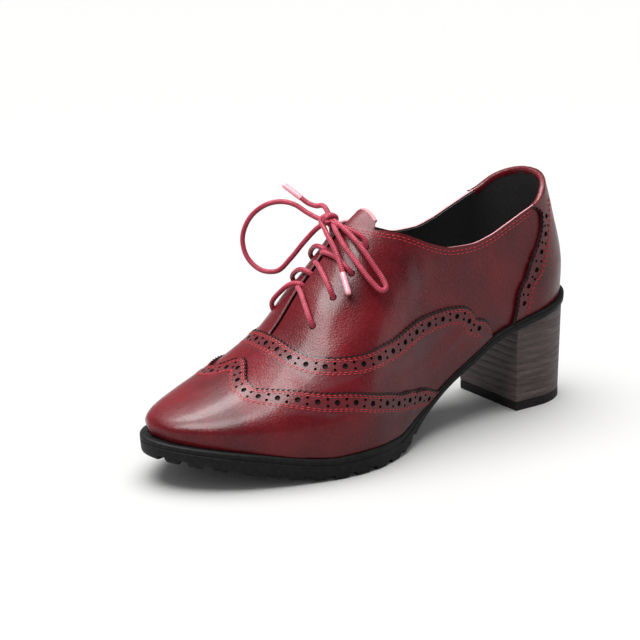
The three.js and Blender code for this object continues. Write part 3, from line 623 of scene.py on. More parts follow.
def make_piece(name, form, materials, nodes=(), wall_mm=0.0, punches=None, sharp=40,
               tight_folds=False):
    mesh = bpy.data.meshes.new(name)
    form.to_mesh(mesh)
    form.free()
    for material in materials:
        mesh.materials.append(material)
    piece = bpy.data.objects.new(name, mesh)
    bpy.context.scene.collection.objects.link(piece)
    if wall_mm:
        thick = piece.modifiers.new("wall", "SOLIDIFY")
        thick.thickness = wall_mm * mm
        thick.offset = -1
        thick.material_offset_rim = 1
        thick.material_offset = 2
    if punches is not None:
        cut = piece.modifiers.new("punches", "BOOLEAN")
        cut.operation = "DIFFERENCE"
        cut.solver = "EXACT"
        cut.use_self = tight_folds
        cut.object = punches
    if wall_mm or punches is not None:
        settle(piece)
    if punches is not None:
        bpy.data.objects.remove(punches)
    piece.data.shade_smooth()
    piece.data.set_sharp_from_angle(angle=math.radians(sharp))
    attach(piece, "root")
    if nodes:
        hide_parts(*nodes)
    print(name, "has", len(piece.data.polygons), "faces")
    return piece


# %% [markdown]
# A sheet of leather starts as a flat grid from bmesh's own operator. Each of its corners then moves
# to its place on the last, which is what lasting a shoe does. The grid also keeps a map in
# millimetres, for the patterns that follow its edge.

# %% Sheets on the last
def lasted_sheet(columns, rows, place, outward_from=None):
    """place(u, v), both 0 to 1, gives points in millimetres and the two numbers of the map."""
    form = bmesh.new()
    bmesh.ops.create_grid(form, x_segments=columns, y_segments=rows, size=1)
    flat = np.array([vertex.co[:2] for vertex in form.verts])
    flat = (flat - flat.min(axis=0)) / np.ptp(flat, axis=0)
    points, first, second = place(flat[:, 0], flat[:, 1])
    layer = form.loops.layers.uv.new("edge")
    form.verts.index_update()
    for face in form.faces:
        for loop in face.loops:
            i = loop.vert.index
            loop[layer].uv = (first[i] * map_scale, second[i] * map_scale)
    for vertex, point in zip(form.verts, points * mm):
        vertex.co = point
    bmesh.ops.remove_doubles(form, verts=form.verts, dist=2e-6)
    form.normal_update()
    middle = Vector(outward_from or (0.0, heel_line * mm, 0.045))
    facing = sum((face.calc_center_median() - middle).dot(face.normal) for face in form.faces)
    if facing < 0:
        bmesh.ops.reverse_faces(form, faces=form.faces)
    return form


def two_sided(across):
    """across runs from 0 at the outer edge of the sole, over the crown at 1, to 2 on the inner side."""
    side = np.where(across <= 1, 1.0, -1.0)
    over = np.where(across <= 1, across, 2 - across)
    return side, over


def surface(along, across, offset=0.0):
    side, over = two_sided(across)
    return skin_point(along, side, over, offset)


def travelled(points):
    """The distance along a line of points, at each of them."""
    steps = np.linalg.norm(np.diff(points, axis=0), axis=1)
    return np.concatenate([[0], np.cumsum(steps)])


def evenly(line, count, offset=0.0):
    """The same line on the last with that many points, the same distance apart."""
    along, across = line
    way = travelled(surface(along, across, offset))
    wanted = np.linspace(0, way[-1], count)
    return np.interp(wanted, way, along), np.interp(wanted, way, across)


def slopes_of_surface(along, across):
    step = 0.001
    ahead = np.clip(along + step, 0, 1)
    behind = np.clip(along - step, 0, 1)
    up = np.clip(across + step, 0, 2)
    down = np.clip(across - step, 0, 2)
    by_along = (surface(ahead, across) - surface(behind, across)) / (ahead - behind)[:, None]
    by_across = (surface(along, up) - surface(along, down)) / (up - down)[:, None]
    return by_along, by_across


def stepped_aside(line, distance):
    """The line moved sideways on the surface, towards the toe, by a distance at each point."""
    along, across = line
    by_along, by_across = slopes_of_surface(along, across)
    tangent = unit(np.gradient(surface(along, across), axis=0))
    sideways = unit(np.cross(np.cross(by_along, by_across), tangent))
    sideways *= np.sign(np.sum(sideways * by_along))
    aa = np.sum(by_along * by_along, axis=1)
    bb = np.sum(by_across * by_across, axis=1)
    ab = np.sum(by_along * by_across, axis=1)
    a = np.sum(by_along * sideways, axis=1) * distance
    b = np.sum(by_across * sideways, axis=1) * distance
    room = np.maximum(aa * bb - ab * ab, 1e-6)
    return along + (a * bb - b * ab) / room, np.clip(across + (b * aa - a * ab) / room, 0, 2)


def beside(line, distance):
    """A line that runs a distance beside another, worked out in short steps."""
    steps = max(1, int(abs(distance) / 0.7))
    count = len(line[0])
    for _ in range(steps):
        line = evenly(stepped_aside(line, distance / steps), count)
    return line


def edge_line(edge, count=500):
    across = np.linspace(0, 2, count)
    return edge(two_sided(across)[1]), across


# %% [markdown]
# The gimped edge is cut by a pinking wheel: small teeth about two and a half millimetres apart. The
# grid of a panel has two columns for each tooth, one at its point and one in its notch, and only
# the first row of the grid follows them.

# %% Panels with gimped edges
tooth_pitch = 2.4
tooth_depth = 1.2
panel_wall = 0.9
first_row = 1.6


def gimped_panel(edge, far_line, offset, rows):
    """A panel from its gimped edge to a far line towards the toe."""
    line = edge_line(edge)
    teeth = int(travelled(surface(*line))[-1] / tooth_pitch)
    count = 2 * teeth + 1
    along, across = evenly(line, count)
    notch = np.where(np.arange(count) % 2 == 0, tooth_depth, 0.0)
    cut_along, cut_across = stepped_aside((along, across), notch)
    lean = np.abs(np.gradient(along) * last_length) / np.maximum(
        np.linalg.norm(np.gradient(surface(along, across), axis=0), axis=1), 1e-6
    )
    square = np.sqrt(np.maximum(1 - lean**2, 0.08))
    far = far_line(two_sided(across)[1])
    way = travelled(surface(along, across))

    def place(u, v):
        i = np.rint(u * (count - 1)).astype(int)
        reach = (far[i] - along[i]) * last_length
        first = first_row / np.maximum(square[i], 0.3)
        first = np.minimum(first, reach / rows)
        row = np.rint(v * rows)
        rest = np.maximum(row - 1, 0) / (rows - 1)
        distance = np.where(row > 0, first + (reach - first) * (0.55 * rest + 0.45 * rest**2), 0)
        at = along[i] + distance / last_length
        at = np.where(row == 0, cut_along[i], at)
        beyond = np.where(row == 0, cut_across[i], across[i])
        points = surface(np.minimum(at, 1), beyond, offset)
        return points, way[i], distance * square[i] + np.where(row == 0, 0.0, 0.0)

    return lasted_sheet(count - 1, rows, place)


def toe_tip(over):
    return np.ones_like(over)


# %% [markdown]
# The band of holes is punched before the panel is stitched down: big round holes, and between two
# of them a pair of small ones. All punches of a panel are one object of little rods, and a Boolean
# modifier takes them out of the leather at once, which leaves real holes with walls.

# %% Punches and stitches
big_hole = 2.7
small_hole = 1.45
hole_pitch = 9.3


def standing(point, normal):
    turn = Vector((0, 0, 1)).rotation_difference(Vector(normal))
    return Matrix.Translation(Vector(point) * mm) @ turn.to_matrix().to_4x4()


def punch_object(name, holes):
    """One object of rods, from rows of point, normal and diameter in millimetres."""
    form = bmesh.new()
    for point, normal, diameter in holes:
        bmesh.ops.create_cone(
            form, cap_ends=True, segments=12, radius1=diameter / 2 * mm, radius2=diameter / 2 * mm,
            depth=5 * mm, matrix=standing(point, normal),
        )
    for face in form.faces:
        face.material_index = 1
    mesh = bpy.data.meshes.new(name)
    form.to_mesh(mesh)
    form.free()
    tool = bpy.data.objects.new(name, mesh)
    bpy.context.scene.collection.objects.link(tool)
    return tool


def spaced(line, pitch, offset, start_gap=3.0, shift=0.0):
    """Points and normals along a line on the last, a pitch apart, clear of its ends."""
    along, across = line
    way = travelled(surface(along, across, offset))
    count = max(1, int((way[-1] - 2 * start_gap) / pitch))
    wanted = way[-1] / 2 + (np.arange(count) - (count - 1) / 2 + shift) * pitch
    wanted = wanted[(wanted > start_gap * 0.6) & (wanted < way[-1] - start_gap * 0.6)]
    at = np.interp(wanted, way, along), np.interp(wanted, way, across)
    return surface(*at, offset), last_normal(at[0], *two_sided(at[1])), at


def brogue_holes(edge, offset):
    """The big holes of a band, and the pairs of small ones between them."""
    holes = []
    line = edge_line(edge)
    middle_row = beside(line, 5.0)
    points, normals, _ = spaced(middle_row, hole_pitch, offset)
    holes += [(p, n, big_hole) for p, n in zip(points, normals)]
    for distance in (3.5, 6.5):
        row = beside(line, distance)
        points, normals, _ = matched(row, middle_row, offset)
        holes += [(p, n, small_hole) for p, n in zip(points, normals)]
    return holes


def matched(row, middle_row, offset):
    """Places on a row that lie beside the halfway points between the big holes."""
    _, _, at = spaced(middle_row, hole_pitch, offset, shift=0.5)
    middle_points = surface(*at, offset)
    row_points = surface(*row, offset)
    nearest = [int(np.argmin(np.sum((row_points - p) ** 2, axis=1))) for p in middle_points]
    found = row[0][nearest], row[1][nearest]
    return surface(*found, offset), last_normal(found[0], *two_sided(found[1])), found


stitch_pitch = 2.6
stitch_length = 2.0
stitch_width = 0.44


def stitch_row(form, points, normals):
    """One stitch for each point but the last, along the way to the next."""
    for here, there, normal in zip(points[:-1], points[1:], normals):
        forward = Vector(there - here)
        if forward.length > 1.6 * stitch_pitch:
            continue
        up = Vector(normal)
        side = up.cross(forward).normalized()
        up = forward.cross(side).normalized()
        middle = Vector((here + there) / 2) * mm
        turn = Matrix((forward.normalized(), side, up)).transposed().to_4x4()
        size = Matrix.Diagonal((stitch_length / 2, stitch_width / 2, stitch_width / 2.4, 1))
        size = Matrix.Diagonal((mm, mm, mm, 1)) @ size
        matrix = Matrix.Translation(middle) @ turn @ size
        bmesh.ops.create_uvsphere(form, u_segments=6, v_segments=5, radius=1, matrix=matrix)


def stitched_line(form, line, offset, pitch=stitch_pitch):
    points, normals, _ = spaced(line, pitch, offset + 0.12, 1.5)
    stitch_row(form, points, normals)


# %% [markdown]
# The lace comes first. Each half starts in the top eyelet, runs to the knot, goes out in a loop, comes back and ends
# in a tip, as a bow does. The route is the list of points that the photograph shows, in metres.

# %% The route of the bow
inner_loop = [
    (0.137, -0.003, 0.111), (0.1385, -0.008, 0.1105), (0.1415, -0.015, 0.113),
    (0.145, -0.0205, 0.1165), (0.149, -0.027, 0.1175), (0.154, -0.0335, 0.1155),
    (0.159, -0.041, 0.1085), (0.1615, -0.045, 0.098), (0.1612, -0.042, 0.089),
    (0.1575, -0.0355, 0.083), (0.1525, -0.0275, 0.0832), (0.1485, -0.021, 0.09),
    (0.1445, -0.014, 0.099), (0.1405, -0.0075, 0.1065), (0.1375, -0.003, 0.11),
]
outer_loop = [
    (0.1365, 0.001, 0.111), (0.1356, 0.007, 0.1088), (0.1344, 0.014, 0.1049),
    (0.1328, 0.0205, 0.0996), (0.1308, 0.0265, 0.0924), (0.129, 0.031, 0.0866),
    (0.1293, 0.0338, 0.083), (0.132, 0.034, 0.0824), (0.1348, 0.0305, 0.086),
    (0.1374, 0.0235, 0.0934), (0.1388, 0.014, 0.1008), (0.1385, 0.0065, 0.1066),
    (0.1372, 0.001, 0.11),
]
inner_end = [
    (0.1365, -0.003, 0.112), (0.136, -0.0085, 0.1165), (0.1375, -0.013, 0.116),
    (0.1395, -0.017, 0.117), (0.1415, -0.0205, 0.1195),
]
outer_end = [
    (0.1362, -0.0035, 0.1117), (0.1383, -0.0062, 0.1116), (0.1404, -0.0042, 0.1098),
    (0.141, -0.0005, 0.1078), (0.142, 0.0035, 0.1054), (0.1422, 0.0085, 0.1012),
    (0.1428, 0.014, 0.096), (0.144, 0.0195, 0.0896),
]
lace_diameter = 2.5
tip_diameter = 2.9
tip_length = 11
knot_place = np.array([137, -1.5, 111.3])


def smooth_path(points, step=0.8):
    """A smooth line through points in millimetres, as points a step apart."""
    points = np.array(points, float)
    knots = np.concatenate([[0], np.cumsum(np.sqrt(np.linalg.norm(np.diff(points, axis=0), axis=1)))])
    wanted = np.linspace(0, knots[-1], 12 * len(points))
    padded = np.vstack([2 * points[0] - points[1], points, 2 * points[-1] - points[-2]])
    first_gap = knots[1] - knots[0]
    last_gap = knots[-1] - knots[-2]
    t = np.concatenate([[knots[0] - first_gap], knots, [knots[-1] + last_gap]])
    line = []
    for value in wanted:
        i = int(np.clip(np.searchsorted(knots, value, side="right") - 1, 0, len(points) - 2)) + 1
        p0, p1, p2, p3 = padded[i - 1 : i + 3]
        t0, t1, t2, t3 = t[i - 1 : i + 3]
        a1 = (t1 - value) / (t1 - t0) * p0 + (value - t0) / (t1 - t0) * p1
        a2 = (t2 - value) / (t2 - t1) * p1 + (value - t1) / (t2 - t1) * p2
        a3 = (t3 - value) / (t3 - t2) * p2 + (value - t2) / (t3 - t2) * p3
        b1 = (t2 - value) / (t2 - t0) * a1 + (value - t0) / (t2 - t0) * a2
        b2 = (t3 - value) / (t3 - t1) * a2 + (value - t1) / (t3 - t1) * a3
        line.append((t2 - value) / (t2 - t1) * b1 + (value - t1) / (t2 - t1) * b2)
    line = np.array(line)
    way = travelled(line)
    even = np.linspace(0, way[-1], max(4, int(way[-1] / step)))
    return np.stack([np.interp(even, way, line[:, k]) for k in range(3)], axis=1)


# %% A cord along a path
def cord_form(path, diameters, around=14):
    """A round tube along a path in millimetres, from a grid bent round it, with closed ends."""
    path = np.asarray(path, float)
    tangents = unit(np.gradient(path, axis=0))
    across = np.cross(tangents[0], (0.3, 0.5, 1.0))
    sides = []
    for tangent in tangents:
        across = across - tangent * np.dot(across, tangent)
        across = across / np.linalg.norm(across)
        sides.append(across)
    sides = np.array(sides)
    ups = np.cross(tangents, sides)
    way = travelled(path)
    radii = np.broadcast_to(np.asarray(diameters, float) / 2, (len(path),))

    def place(u, v):
        i = np.rint(v * (len(path) - 1)).astype(int)
        angle = 2 * math.pi * np.rint(u * around) / around
        ring = sides[i] * np.cos(angle)[:, None] + ups[i] * np.sin(angle)[:, None]
        return path[i] + ring * radii[i][:, None], u / map_scale, way[i]

    form = lasted_sheet(around, len(path) - 1, place)
    bmesh.ops.holes_fill(form, edges=[edge for edge in form.edges if edge.is_boundary], sides=0)
    bmesh.ops.recalc_face_normals(form, faces=form.faces)
    return form


def in_frame(points_m):
    return np.array(points_m) / mm + to_frame


# %% [markdown]
# Over the tongue the lace crosses four times. From each eyelet a strand comes out, climbs over the
# facing towards the gap and dives under the other facing, where it goes up through the next eyelet.
# The strands of the far side do the same a little further up, so the two lie beside each other.

# %% Where the strands run
# eyelet: along, over; then where the outer and the inner strand cross the gap
eyelet_rows = [
    (0.68, 0.75, 0.657, 0.651), (0.628, 0.75, 0.613, 0.63), (0.582, 0.742, 0.596, 0.59),
    (0.54, 0.762, 0.54, 0.54),
]
eyelet_diameter = 3.6
under_facing = -3.0


def strand_path(row, side):
    along, over, outer_gap, inner_gap = eyelet_rows[row]
    gap = outer_gap if side > 0 else inner_gap
    edge = float(opening_edge(np.array(gap), side))
    lift = lace_diameter / 2 + (0.25 if side > 0 else 0.9)
    points = [skin_point(along, side, over, height) for height in (under_facing, -0.8)]
    if row == len(eyelet_rows) - 1:
        points.append(skin_point(along - 0.004, side, over + 0.03, lift))
        points.append(knot_place + to_frame + np.array([0.5, side * 3, -1.0]))
        points.append(knot_place + to_frame)
        return smooth_path(points)
    for share, height in ((0.12, lift), (0.5, lift + 0.5 * (lift - 1)), (0.85, lift + 0.2)):
        points.append(skin_point(along + share * (gap - along), side, over + share * (edge - over), height))
    points.append(skin_point(gap, side, 1.0, 0.5))
    points.append(skin_point(gap, -side, 2 * edge - over, -2.6) * 0.3 + skin_point(gap, -side, edge, -2.2) * 0.7)
    next_along, next_over, _, _ = eyelet_rows[row + 1]
    points.append(skin_point((gap + next_along) / 2, -side, (edge + next_over) / 2, under_facing))
    return smooth_path(points)


for row in range(len(eyelet_rows)):
    for side, word in ((1, "outer"), (-1, "inner")):
        stands_for = (f"lace_crossing_{row + 1}",) if side > 0 else ()
        form = cord_form(strand_path(row, side), lace_diameter)
        make_piece(f"lace_strand_{row + 1}_{word}", form, [lace_cord], stands_for)


# %% [markdown]
# The knot of a bow is one turn of the lace round the other strands. It is a short coil whose turns
# lie side by side, drawn tight across the middle.

# %% The knot
knot_radius = 2.5
knot_turns = 2.1


def knot_path():
    angles = np.linspace(-0.6, 2 * math.pi * knot_turns - 0.6, 60)
    drift = np.linspace(-2.3, 2.3, 60)
    x = knot_place[0] + knot_radius * 1.15 * np.cos(angles)
    y = knot_place[1] + drift + 0.5 * np.sin(angles)
    z = knot_place[2] + knot_radius * 0.8 * np.sin(angles)
    return np.stack([x, y, z], axis=1) + to_frame


knot = make_piece("lace_knot_wrap", cord_form(knot_path(), lace_diameter), [lace_cord], ("lace_knot",))

# %% [markdown]
# Each half of the lace is one cord from the knot through its loop, back through the knot and out to
# its tip, so that it has the length of a real lace end. The tips are sleeves pressed on the cord.

# %% The bow
def tip_piece(name, end_points, node):
    tip = in_frame([end_points[-1]])[0]
    back = in_frame([end_points[-2]])[0]
    line = unit(tip - back)
    places = np.linspace(-0.4, tip_length, 24)
    share = places / tip_length
    widths = tip_diameter * np.where(share > 0.9, 1 - 0.25 * (share - 0.9) / 0.1, 1)
    widths = np.where(share < 0.04, tip_diameter * 0.97, widths)
    form = cord_form(tip + line * places[:, None], widths, 20)
    return make_piece(name, form, [tip_plastic], (node,))


def free_cord(name, points, nodes):
    path = smooth_path(in_frame(points))
    piece = make_piece(name, cord_form(path, lace_diameter), [lace_cord], nodes)
    return piece


inner_tip = tip_piece("lace_tip_inner", inner_end, "aglet_inner")
outer_tip = tip_piece("lace_tip_outer", outer_end, "aglet_outer")
inner_cord = inner_loop + inner_end
outer_cord = outer_loop + outer_end
free_cord("bow_cord_inner", inner_cord, ("lace_loop_inner", "lace_end_inner"))
free_cord("bow_cord_outer", outer_cord, ("lace_loop_outer", "lace_end_outer"))

# %% [markdown]
# The outsole is moulded in one piece: thick under the ball of the foot, thin under the arch and the
# seat, with a row of lugs round the forefoot. Rings of points, one for each place along the foot,
# are the rows of the grid, and the grooves between the lugs are cut out by bars.

# %% The outsole
edge_round = 0.8
lug_pitch = 11.5
groove_width = 4.8
groove_depth = 2.1
groove_length = 15
lugs_start = 0.462
ridge_depth = 0.35


def outline_point(along, side, inset):
    """A place on the sole's outline, moved in from its edge, before it gets its height."""
    step = 0.001

    def at(place):
        x = place * shoe_length
        ends = round_end(x, heel_round) * round_end(shoe_length - x, toe_round)
        half = np.where(side > 0, outer_half(place), inner_half(place)) * ball_width * ends
        return np.stack([x, centre_share(place) * ball_width + side * half], axis=-1)

    direction = unit(at(np.minimum(1, along + step)) - at(np.maximum(0, along - step)))
    outward = np.stack([-direction[..., 1], direction[..., 0]], axis=-1) * np.asarray(side)[..., None]
    outward = np.where((along <= 0)[..., None], np.array([-1.0, 0.0]), outward)
    outward = np.where((along >= 1)[..., None], np.array([1.0, 0.0]), outward)
    return at(along) - outward * np.asarray(inset)[..., None]


def sole_stations():
    heel_end = heel_round / shoe_length
    toe_start = 1 - toe_round / shoe_length
    heel = heel_end * (1 - np.cos(np.linspace(0, math.pi / 2, 30)))
    flank = np.linspace(heel_end, toe_start, 110)[1:-1]
    toe = toe_start + (1 - toe_start) * np.sin(np.linspace(0, math.pi / 2, 46))
    return np.concatenate([heel, flank, toe])


# share of the way down the side, inset: the profile of the sole's edge from its top to its tread
edge_rows = [
    (0.0, edge_round), (0.03, 0.35), (0.08, 0.08), (0.14, 0.0), (0.24, 0.0), (0.27, ridge_depth),
    (0.31, ridge_depth), (0.34, 0.0), (0.55, 0.05), (0.8, 0.15), (0.92, 0.3), (0.97, 0.55),
    (1.0, edge_round + 0.3),
]


def outsole_form():
    along = sole_stations()
    columns = 2 * len(edge_rows)
    flat_columns = 8
    total = columns + 2 * flat_columns

    def place(u, v):
        row = np.rint(v * (len(along) - 1)).astype(int)
        column = np.rint(u * total).astype(int) % total
        at = along[row]
        on_outer = column < len(edge_rows)
        on_tread = (column >= len(edge_rows)) & (column < len(edge_rows) + flat_columns)
        on_inner = (column >= len(edge_rows) + flat_columns) & (column < columns + flat_columns)
        rank = np.where(on_outer, column, columns + flat_columns - 1 - column)
        rank = np.clip(rank, 0, len(edge_rows) - 1)
        down = np.array([r[0] for r in edge_rows])[rank]
        inset = np.array([r[1] for r in edge_rows])[rank]
        side = np.where(on_outer, 1.0, -1.0)
        edge = outline_point(at, side, inset)
        last_inset = edge_rows[-1][1]
        outer = outline_point(at, np.ones_like(at), np.full_like(at, last_inset))
        inner = outline_point(at, -np.ones_like(at), np.full_like(at, last_inset))
        tread_share = (column - len(edge_rows) + 1) / (flat_columns + 1)
        tread = outer + (inner - outer) * tread_share[:, None]
        top_inset = edge_rows[0][1]
        outer_top = outline_point(at, np.ones_like(at), np.full_like(at, top_inset))
        inner_top = outline_point(at, -np.ones_like(at), np.full_like(at, top_inset))
        top_share = (column - columns - flat_columns + 1) / (flat_columns + 1)
        top = inner_top + (outer_top - inner_top) * top_share[:, None]
        is_edge = on_outer | on_inner
        flat = np.where(is_edge[:, None], edge, np.where(on_tread[:, None], tread, top))
        share = np.clip(flat[:, 0] / shoe_length, 0, 1)
        high = sole_top(share)
        low = sole_bottom(share)
        level = np.where(is_edge, down, np.where(on_tread, 1.0, 0.0))
        z = high + (low - high) * level
        points = np.column_stack([flat, z]) + to_frame
        return points, points[:, 0], points[:, 1]

    form = lasted_sheet(total, len(along) - 1, place)
    bmesh.ops.holes_fill(form, edges=[edge for edge in form.edges if edge.is_boundary], sides=0)
    bmesh.ops.recalc_face_normals(form, faces=form.faces)
    return form


def groove_object():
    form = bmesh.new()
    step = 0.0005
    for side in (1.0, -1.0):
        along = np.arange(lugs_start, 0.992, step)
        edge = outline_point(along, side, np.zeros_like(along))
        way = travelled(edge) + lug_pitch / 2
        count = int(way[-1] // lug_pitch)
        places = np.interp(lug_pitch * np.arange(1, count + 1), way, along)
        for place in places:
            here = np.array([place])
            start = outline_point(here, side, np.zeros(1))[0]
            inside = outline_point(here, side, np.full(1, float(groove_length)))[0]
            inward = Vector((*(inside - start), 0)).normalized()
            low = float(sole_bottom(place))
            bar = bmesh.ops.create_cube(form, size=1)["verts"]
            across = Vector((0, 0, 1)).cross(inward)
            turn = Matrix((across, Vector((0, 0, 1)), inward)).transposed().to_4x4()
            for vertex in bar:
                half = groove_width * (0.75 if vertex.co.y < 0 else 0.38)
                vertex.co.x = math.copysign(half, vertex.co.x)
                vertex.co.y = groove_depth * (-1 if vertex.co.y < 0 else 1)
                vertex.co.z = -4 if vertex.co.z < 0 else groove_length
            centre = Vector((start[0], start[1], low)) + Vector(to_frame)
            matrix = Matrix.Diagonal((mm, mm, mm, 1)) @ Matrix.Translation(centre) @ turn
            bmesh.ops.transform(form, matrix=matrix, verts=bar)
    bmesh.ops.recalc_face_normals(form, faces=form.faces)
    mesh = bpy.data.meshes.new("grooves")
    form.to_mesh(mesh)
    form.free()
    tool = bpy.data.objects.new("grooves", mesh)
    bpy.context.scene.collection.objects.link(tool)
    return tool


make_piece("outsole_moulding", outsole_form(), [rubber], ("outsole",), 0, groove_object(), 50)

# %% [markdown]
# The heel is a stack of leather lifts, glued, trimmed and waxed as one block. The block is drawn as
# rings from the floor up, and between two lifts the rings step in by a hair, which draws the level
# lines that a stacked heel has.

# %% The heel and its top lift
heel_length = 44
heel_inset = 1.2
heel_taper = 1.8
top_lift_thickness = 4.6
glue_line = 0.14


def heel_form(low, high_of, low_inset, high_inset, lifts):
    steps = 40
    along = heel_length / shoe_length * (1 - np.cos(np.linspace(0, math.pi / 2, steps)))
    levels = [0.0]
    for lift in range(1, lifts):
        levels += [(lift - 0.06) / lifts, lift / lifts, (lift + 0.06) / lifts]
    levels.append(1.0)
    levels = np.array(levels)
    insets = np.array([glue_line if 0 < i < len(levels) - 1 and i % 3 == 2 else 0 for i in range(len(levels))])
    round_in = np.zeros(len(levels))
    ring = [(1.0, a) for a in along[::-1]] + [(-1.0, a) for a in along[1:]]
    sides = np.array([r[0] for r in ring])
    places = np.array([r[1] for r in ring])
    top = seat_height

    def place(u, v):
        i = np.rint(u * (len(ring) - 1)).astype(int)
        j = np.rint(v * (len(levels) - 1)).astype(int)
        lean = low_inset + (high_inset - low_inset) * levels[j]
        inset = lean + insets[j] + round_in[j]
        flat = outline_point(places[i], sides[i], inset)
        x = np.where(places[i] >= along[-1] - 1e-9, heel_length - insets[j], flat[:, 0])
        ceiling = high_of(np.clip(x / shoe_length, 0, 1))
        z = np.minimum(low + (top - low) * levels[j], ceiling)
        z = np.where(levels[j] >= 1, ceiling, z)
        points = np.column_stack([x, flat[:, 1], z]) + to_frame
        return points, points[:, 0], points[:, 2]

    form = lasted_sheet(len(ring) - 1, len(levels) - 1, place, (-0.1, heel_line * mm, low * mm + 0.002))
    left = [v for v in form.verts if abs(v.co.x - (heel_length + to_frame[0]) * mm) < 4e-4]
    boundary = [edge for edge in form.edges if edge.is_boundary]
    front = [edge for edge in boundary if all(v in left for v in edge.verts)]
    bmesh.ops.bridge_loops(form, edges=front)
    bmesh.ops.holes_fill(form, edges=[edge for edge in form.edges if edge.is_boundary], sides=0)
    bmesh.ops.recalc_face_normals(form, faces=form.faces)
    return form


def under_seat(share):
    return sole_bottom(share) - fit_gap


def lift_top(share):
    return np.full_like(share, top_lift_thickness)


heel_foot = heel_inset + heel_taper
heel_low = top_lift_thickness + fit_gap
lifts = round((seat_height - heel_low) / lift_pitch)
block = heel_form(heel_low, under_seat, heel_foot, heel_inset, lifts)
make_piece("heel_stack", block, [heel_board], ("heel",), sharp=35)

# %% [markdown]
# The lining is the first skin on the last: black and thin, closed over the toes. The quarters of
# wine calf lie on it, with the facings that the lace pulls together, and their trimmed edge shows
# pale all along the collar.

# %% Quarters and lining
leather_wall = 1.0
lining_wall = wall - leather_wall - 0.05
quarter_columns = 300
quarter_rows = 64


def quarter_form(reach, offset, lower_edge):
    """Both quarters as one sheet: u runs from the inner side round the heel to the outer side."""
    def place(u, v):
        t = 2 * u - 1
        bent = np.sign(t) * (0.25 * np.abs(t) ** 0.5 + 0.75 * np.abs(t)) * np.abs(t) ** 0.25
        side = np.where(t < 0, -1.0, 1.0)
        along = np.abs(bent) * reach
        along = np.where(np.abs(along - throat_share) < 0.0035, throat_share, along)
        edge = opening_edge(along, side)
        share = 0.5 * v + 0.5 * np.sin(v * math.pi / 2)
        over = share * (edge - np.where(along < throat_share, lower_edge, 0))
        points = skin_point(along, side, over, offset)
        down = (edge - over) * 90
        return points, along * last_length, down

    return lasted_sheet(quarter_columns, quarter_rows, place)


def eyelet_holes(offset):
    holes = []
    for along, over, _, _ in eyelet_rows:
        for side in (1.0, -1.0):
            point = skin_point(along, side, over, offset)
            holes.append((point, last_normal(np.array(along), np.array(side), np.array(over)), eyelet_diameter))
    return holes


quarters = quarter_form(0.8, 0.0, 0.0)
skins = [calf, pale_edge, lining_skin]
make_piece("quarters", quarters, skins, ("upper",), leather_wall, punch_object("p", eyelet_holes(-0.5)), 55)
lining = quarter_form(1.0, -leather_wall - 0.05, 0.004)
skins = [lining_skin, lining_skin, lining_skin]
make_piece("lining", lining, skins, (), lining_wall, punch_object("p", eyelet_holes(-1.4)), 55)

# %% [markdown]
# The vamp covers the front of the quarters and hides its own front seam under the wing tip. The wing tip is the top
# layer, and gives the shoe its name. A black strip behind each band shows through the holes as painted shade, which
# makes them look deep.

# %% Vamp and wing tip
layer = 1.2
wing_layer = 2.4
hidden_reach = 14
panel_skins = [banded_calf, inked_edge, inked_edge]


def under_wing(over):
    return wing_edge(over) + hidden_reach / last_length


vamp = gimped_panel(vamp_edge, under_wing, layer, 34)
vamp_holes = punch_object("p", brogue_holes(vamp_edge, layer - 0.4))
make_piece("vamp_panel", vamp, panel_skins, ("vamp",), panel_wall, vamp_holes, 50)

wing = gimped_panel(wing_edge, toe_tip, wing_layer, 60)
wing_holes = punch_object("p", brogue_holes(wing_edge, wing_layer - 0.4))
make_piece("wing_tip_panel", wing, panel_skins, ("wing_tip",), panel_wall, wing_holes, 50, True)


# %% The black strips behind the holes, painted shade
def hole_shade_strip_form(edge, offset):
    near = beside(edge_line(edge), 1.5)
    far = beside(edge_line(edge), band_width)
    count = len(near[0])

    def place(u, v):
        i = np.rint(u * (count - 1)).astype(int)
        along = near[0][i] + (far[0][i] - near[0][i]) * v
        across = near[1][i] + (far[1][i] - near[1][i]) * v
        points = surface(along, across, offset)
        return points, along * last_length, v * band_width

    return lasted_sheet(count - 1, 8, place)


# black strips under the bands: painted shade that shows through the holes
for name, edge, offset in (("vamp_hole_shade_strip", vamp_edge, 0.24), ("wing_tip_hole_shade_strip", wing_edge, 1.44)):
    make_piece(name, hole_shade_strip_form(edge, offset), [inked_edge] * 3, (), 0.15)

# %% [markdown]
# The counter wraps the heel. It is narrow at the collar and wide at the sole, and both of its front
# edges are gimped. Here u runs round the heel and v up from the sole, and the teeth sit on the first
# and the last column.

# %% The counter
counter_rows = 68


def counter_line(side, count=200):
    """The counter's front edge on one side, from the sole to the collar."""
    v = np.linspace(0, 1, count)
    along = counter_edge(v)
    return along, v * opening_edge(along, side)


def up_the_counter(side, distance, count=200):
    """The line that runs a distance behind the counter's front edge."""
    along, over = counter_line(side, count)
    points = skin_point(along, side, over)
    lean = np.gradient(points[:, 0]) / np.linalg.norm(np.gradient(points, axis=0), axis=1)
    square = np.sqrt(np.maximum(1 - lean**2, 0.25))
    moved = np.maximum(along - distance / square / last_length, 0)
    window = np.hanning(max(3, int(distance * 9) | 1))
    ends = len(window) // 2
    padded = np.pad(moved, ends, mode="edge")
    return np.convolve(padded, window / window.sum(), mode="valid"), over, points


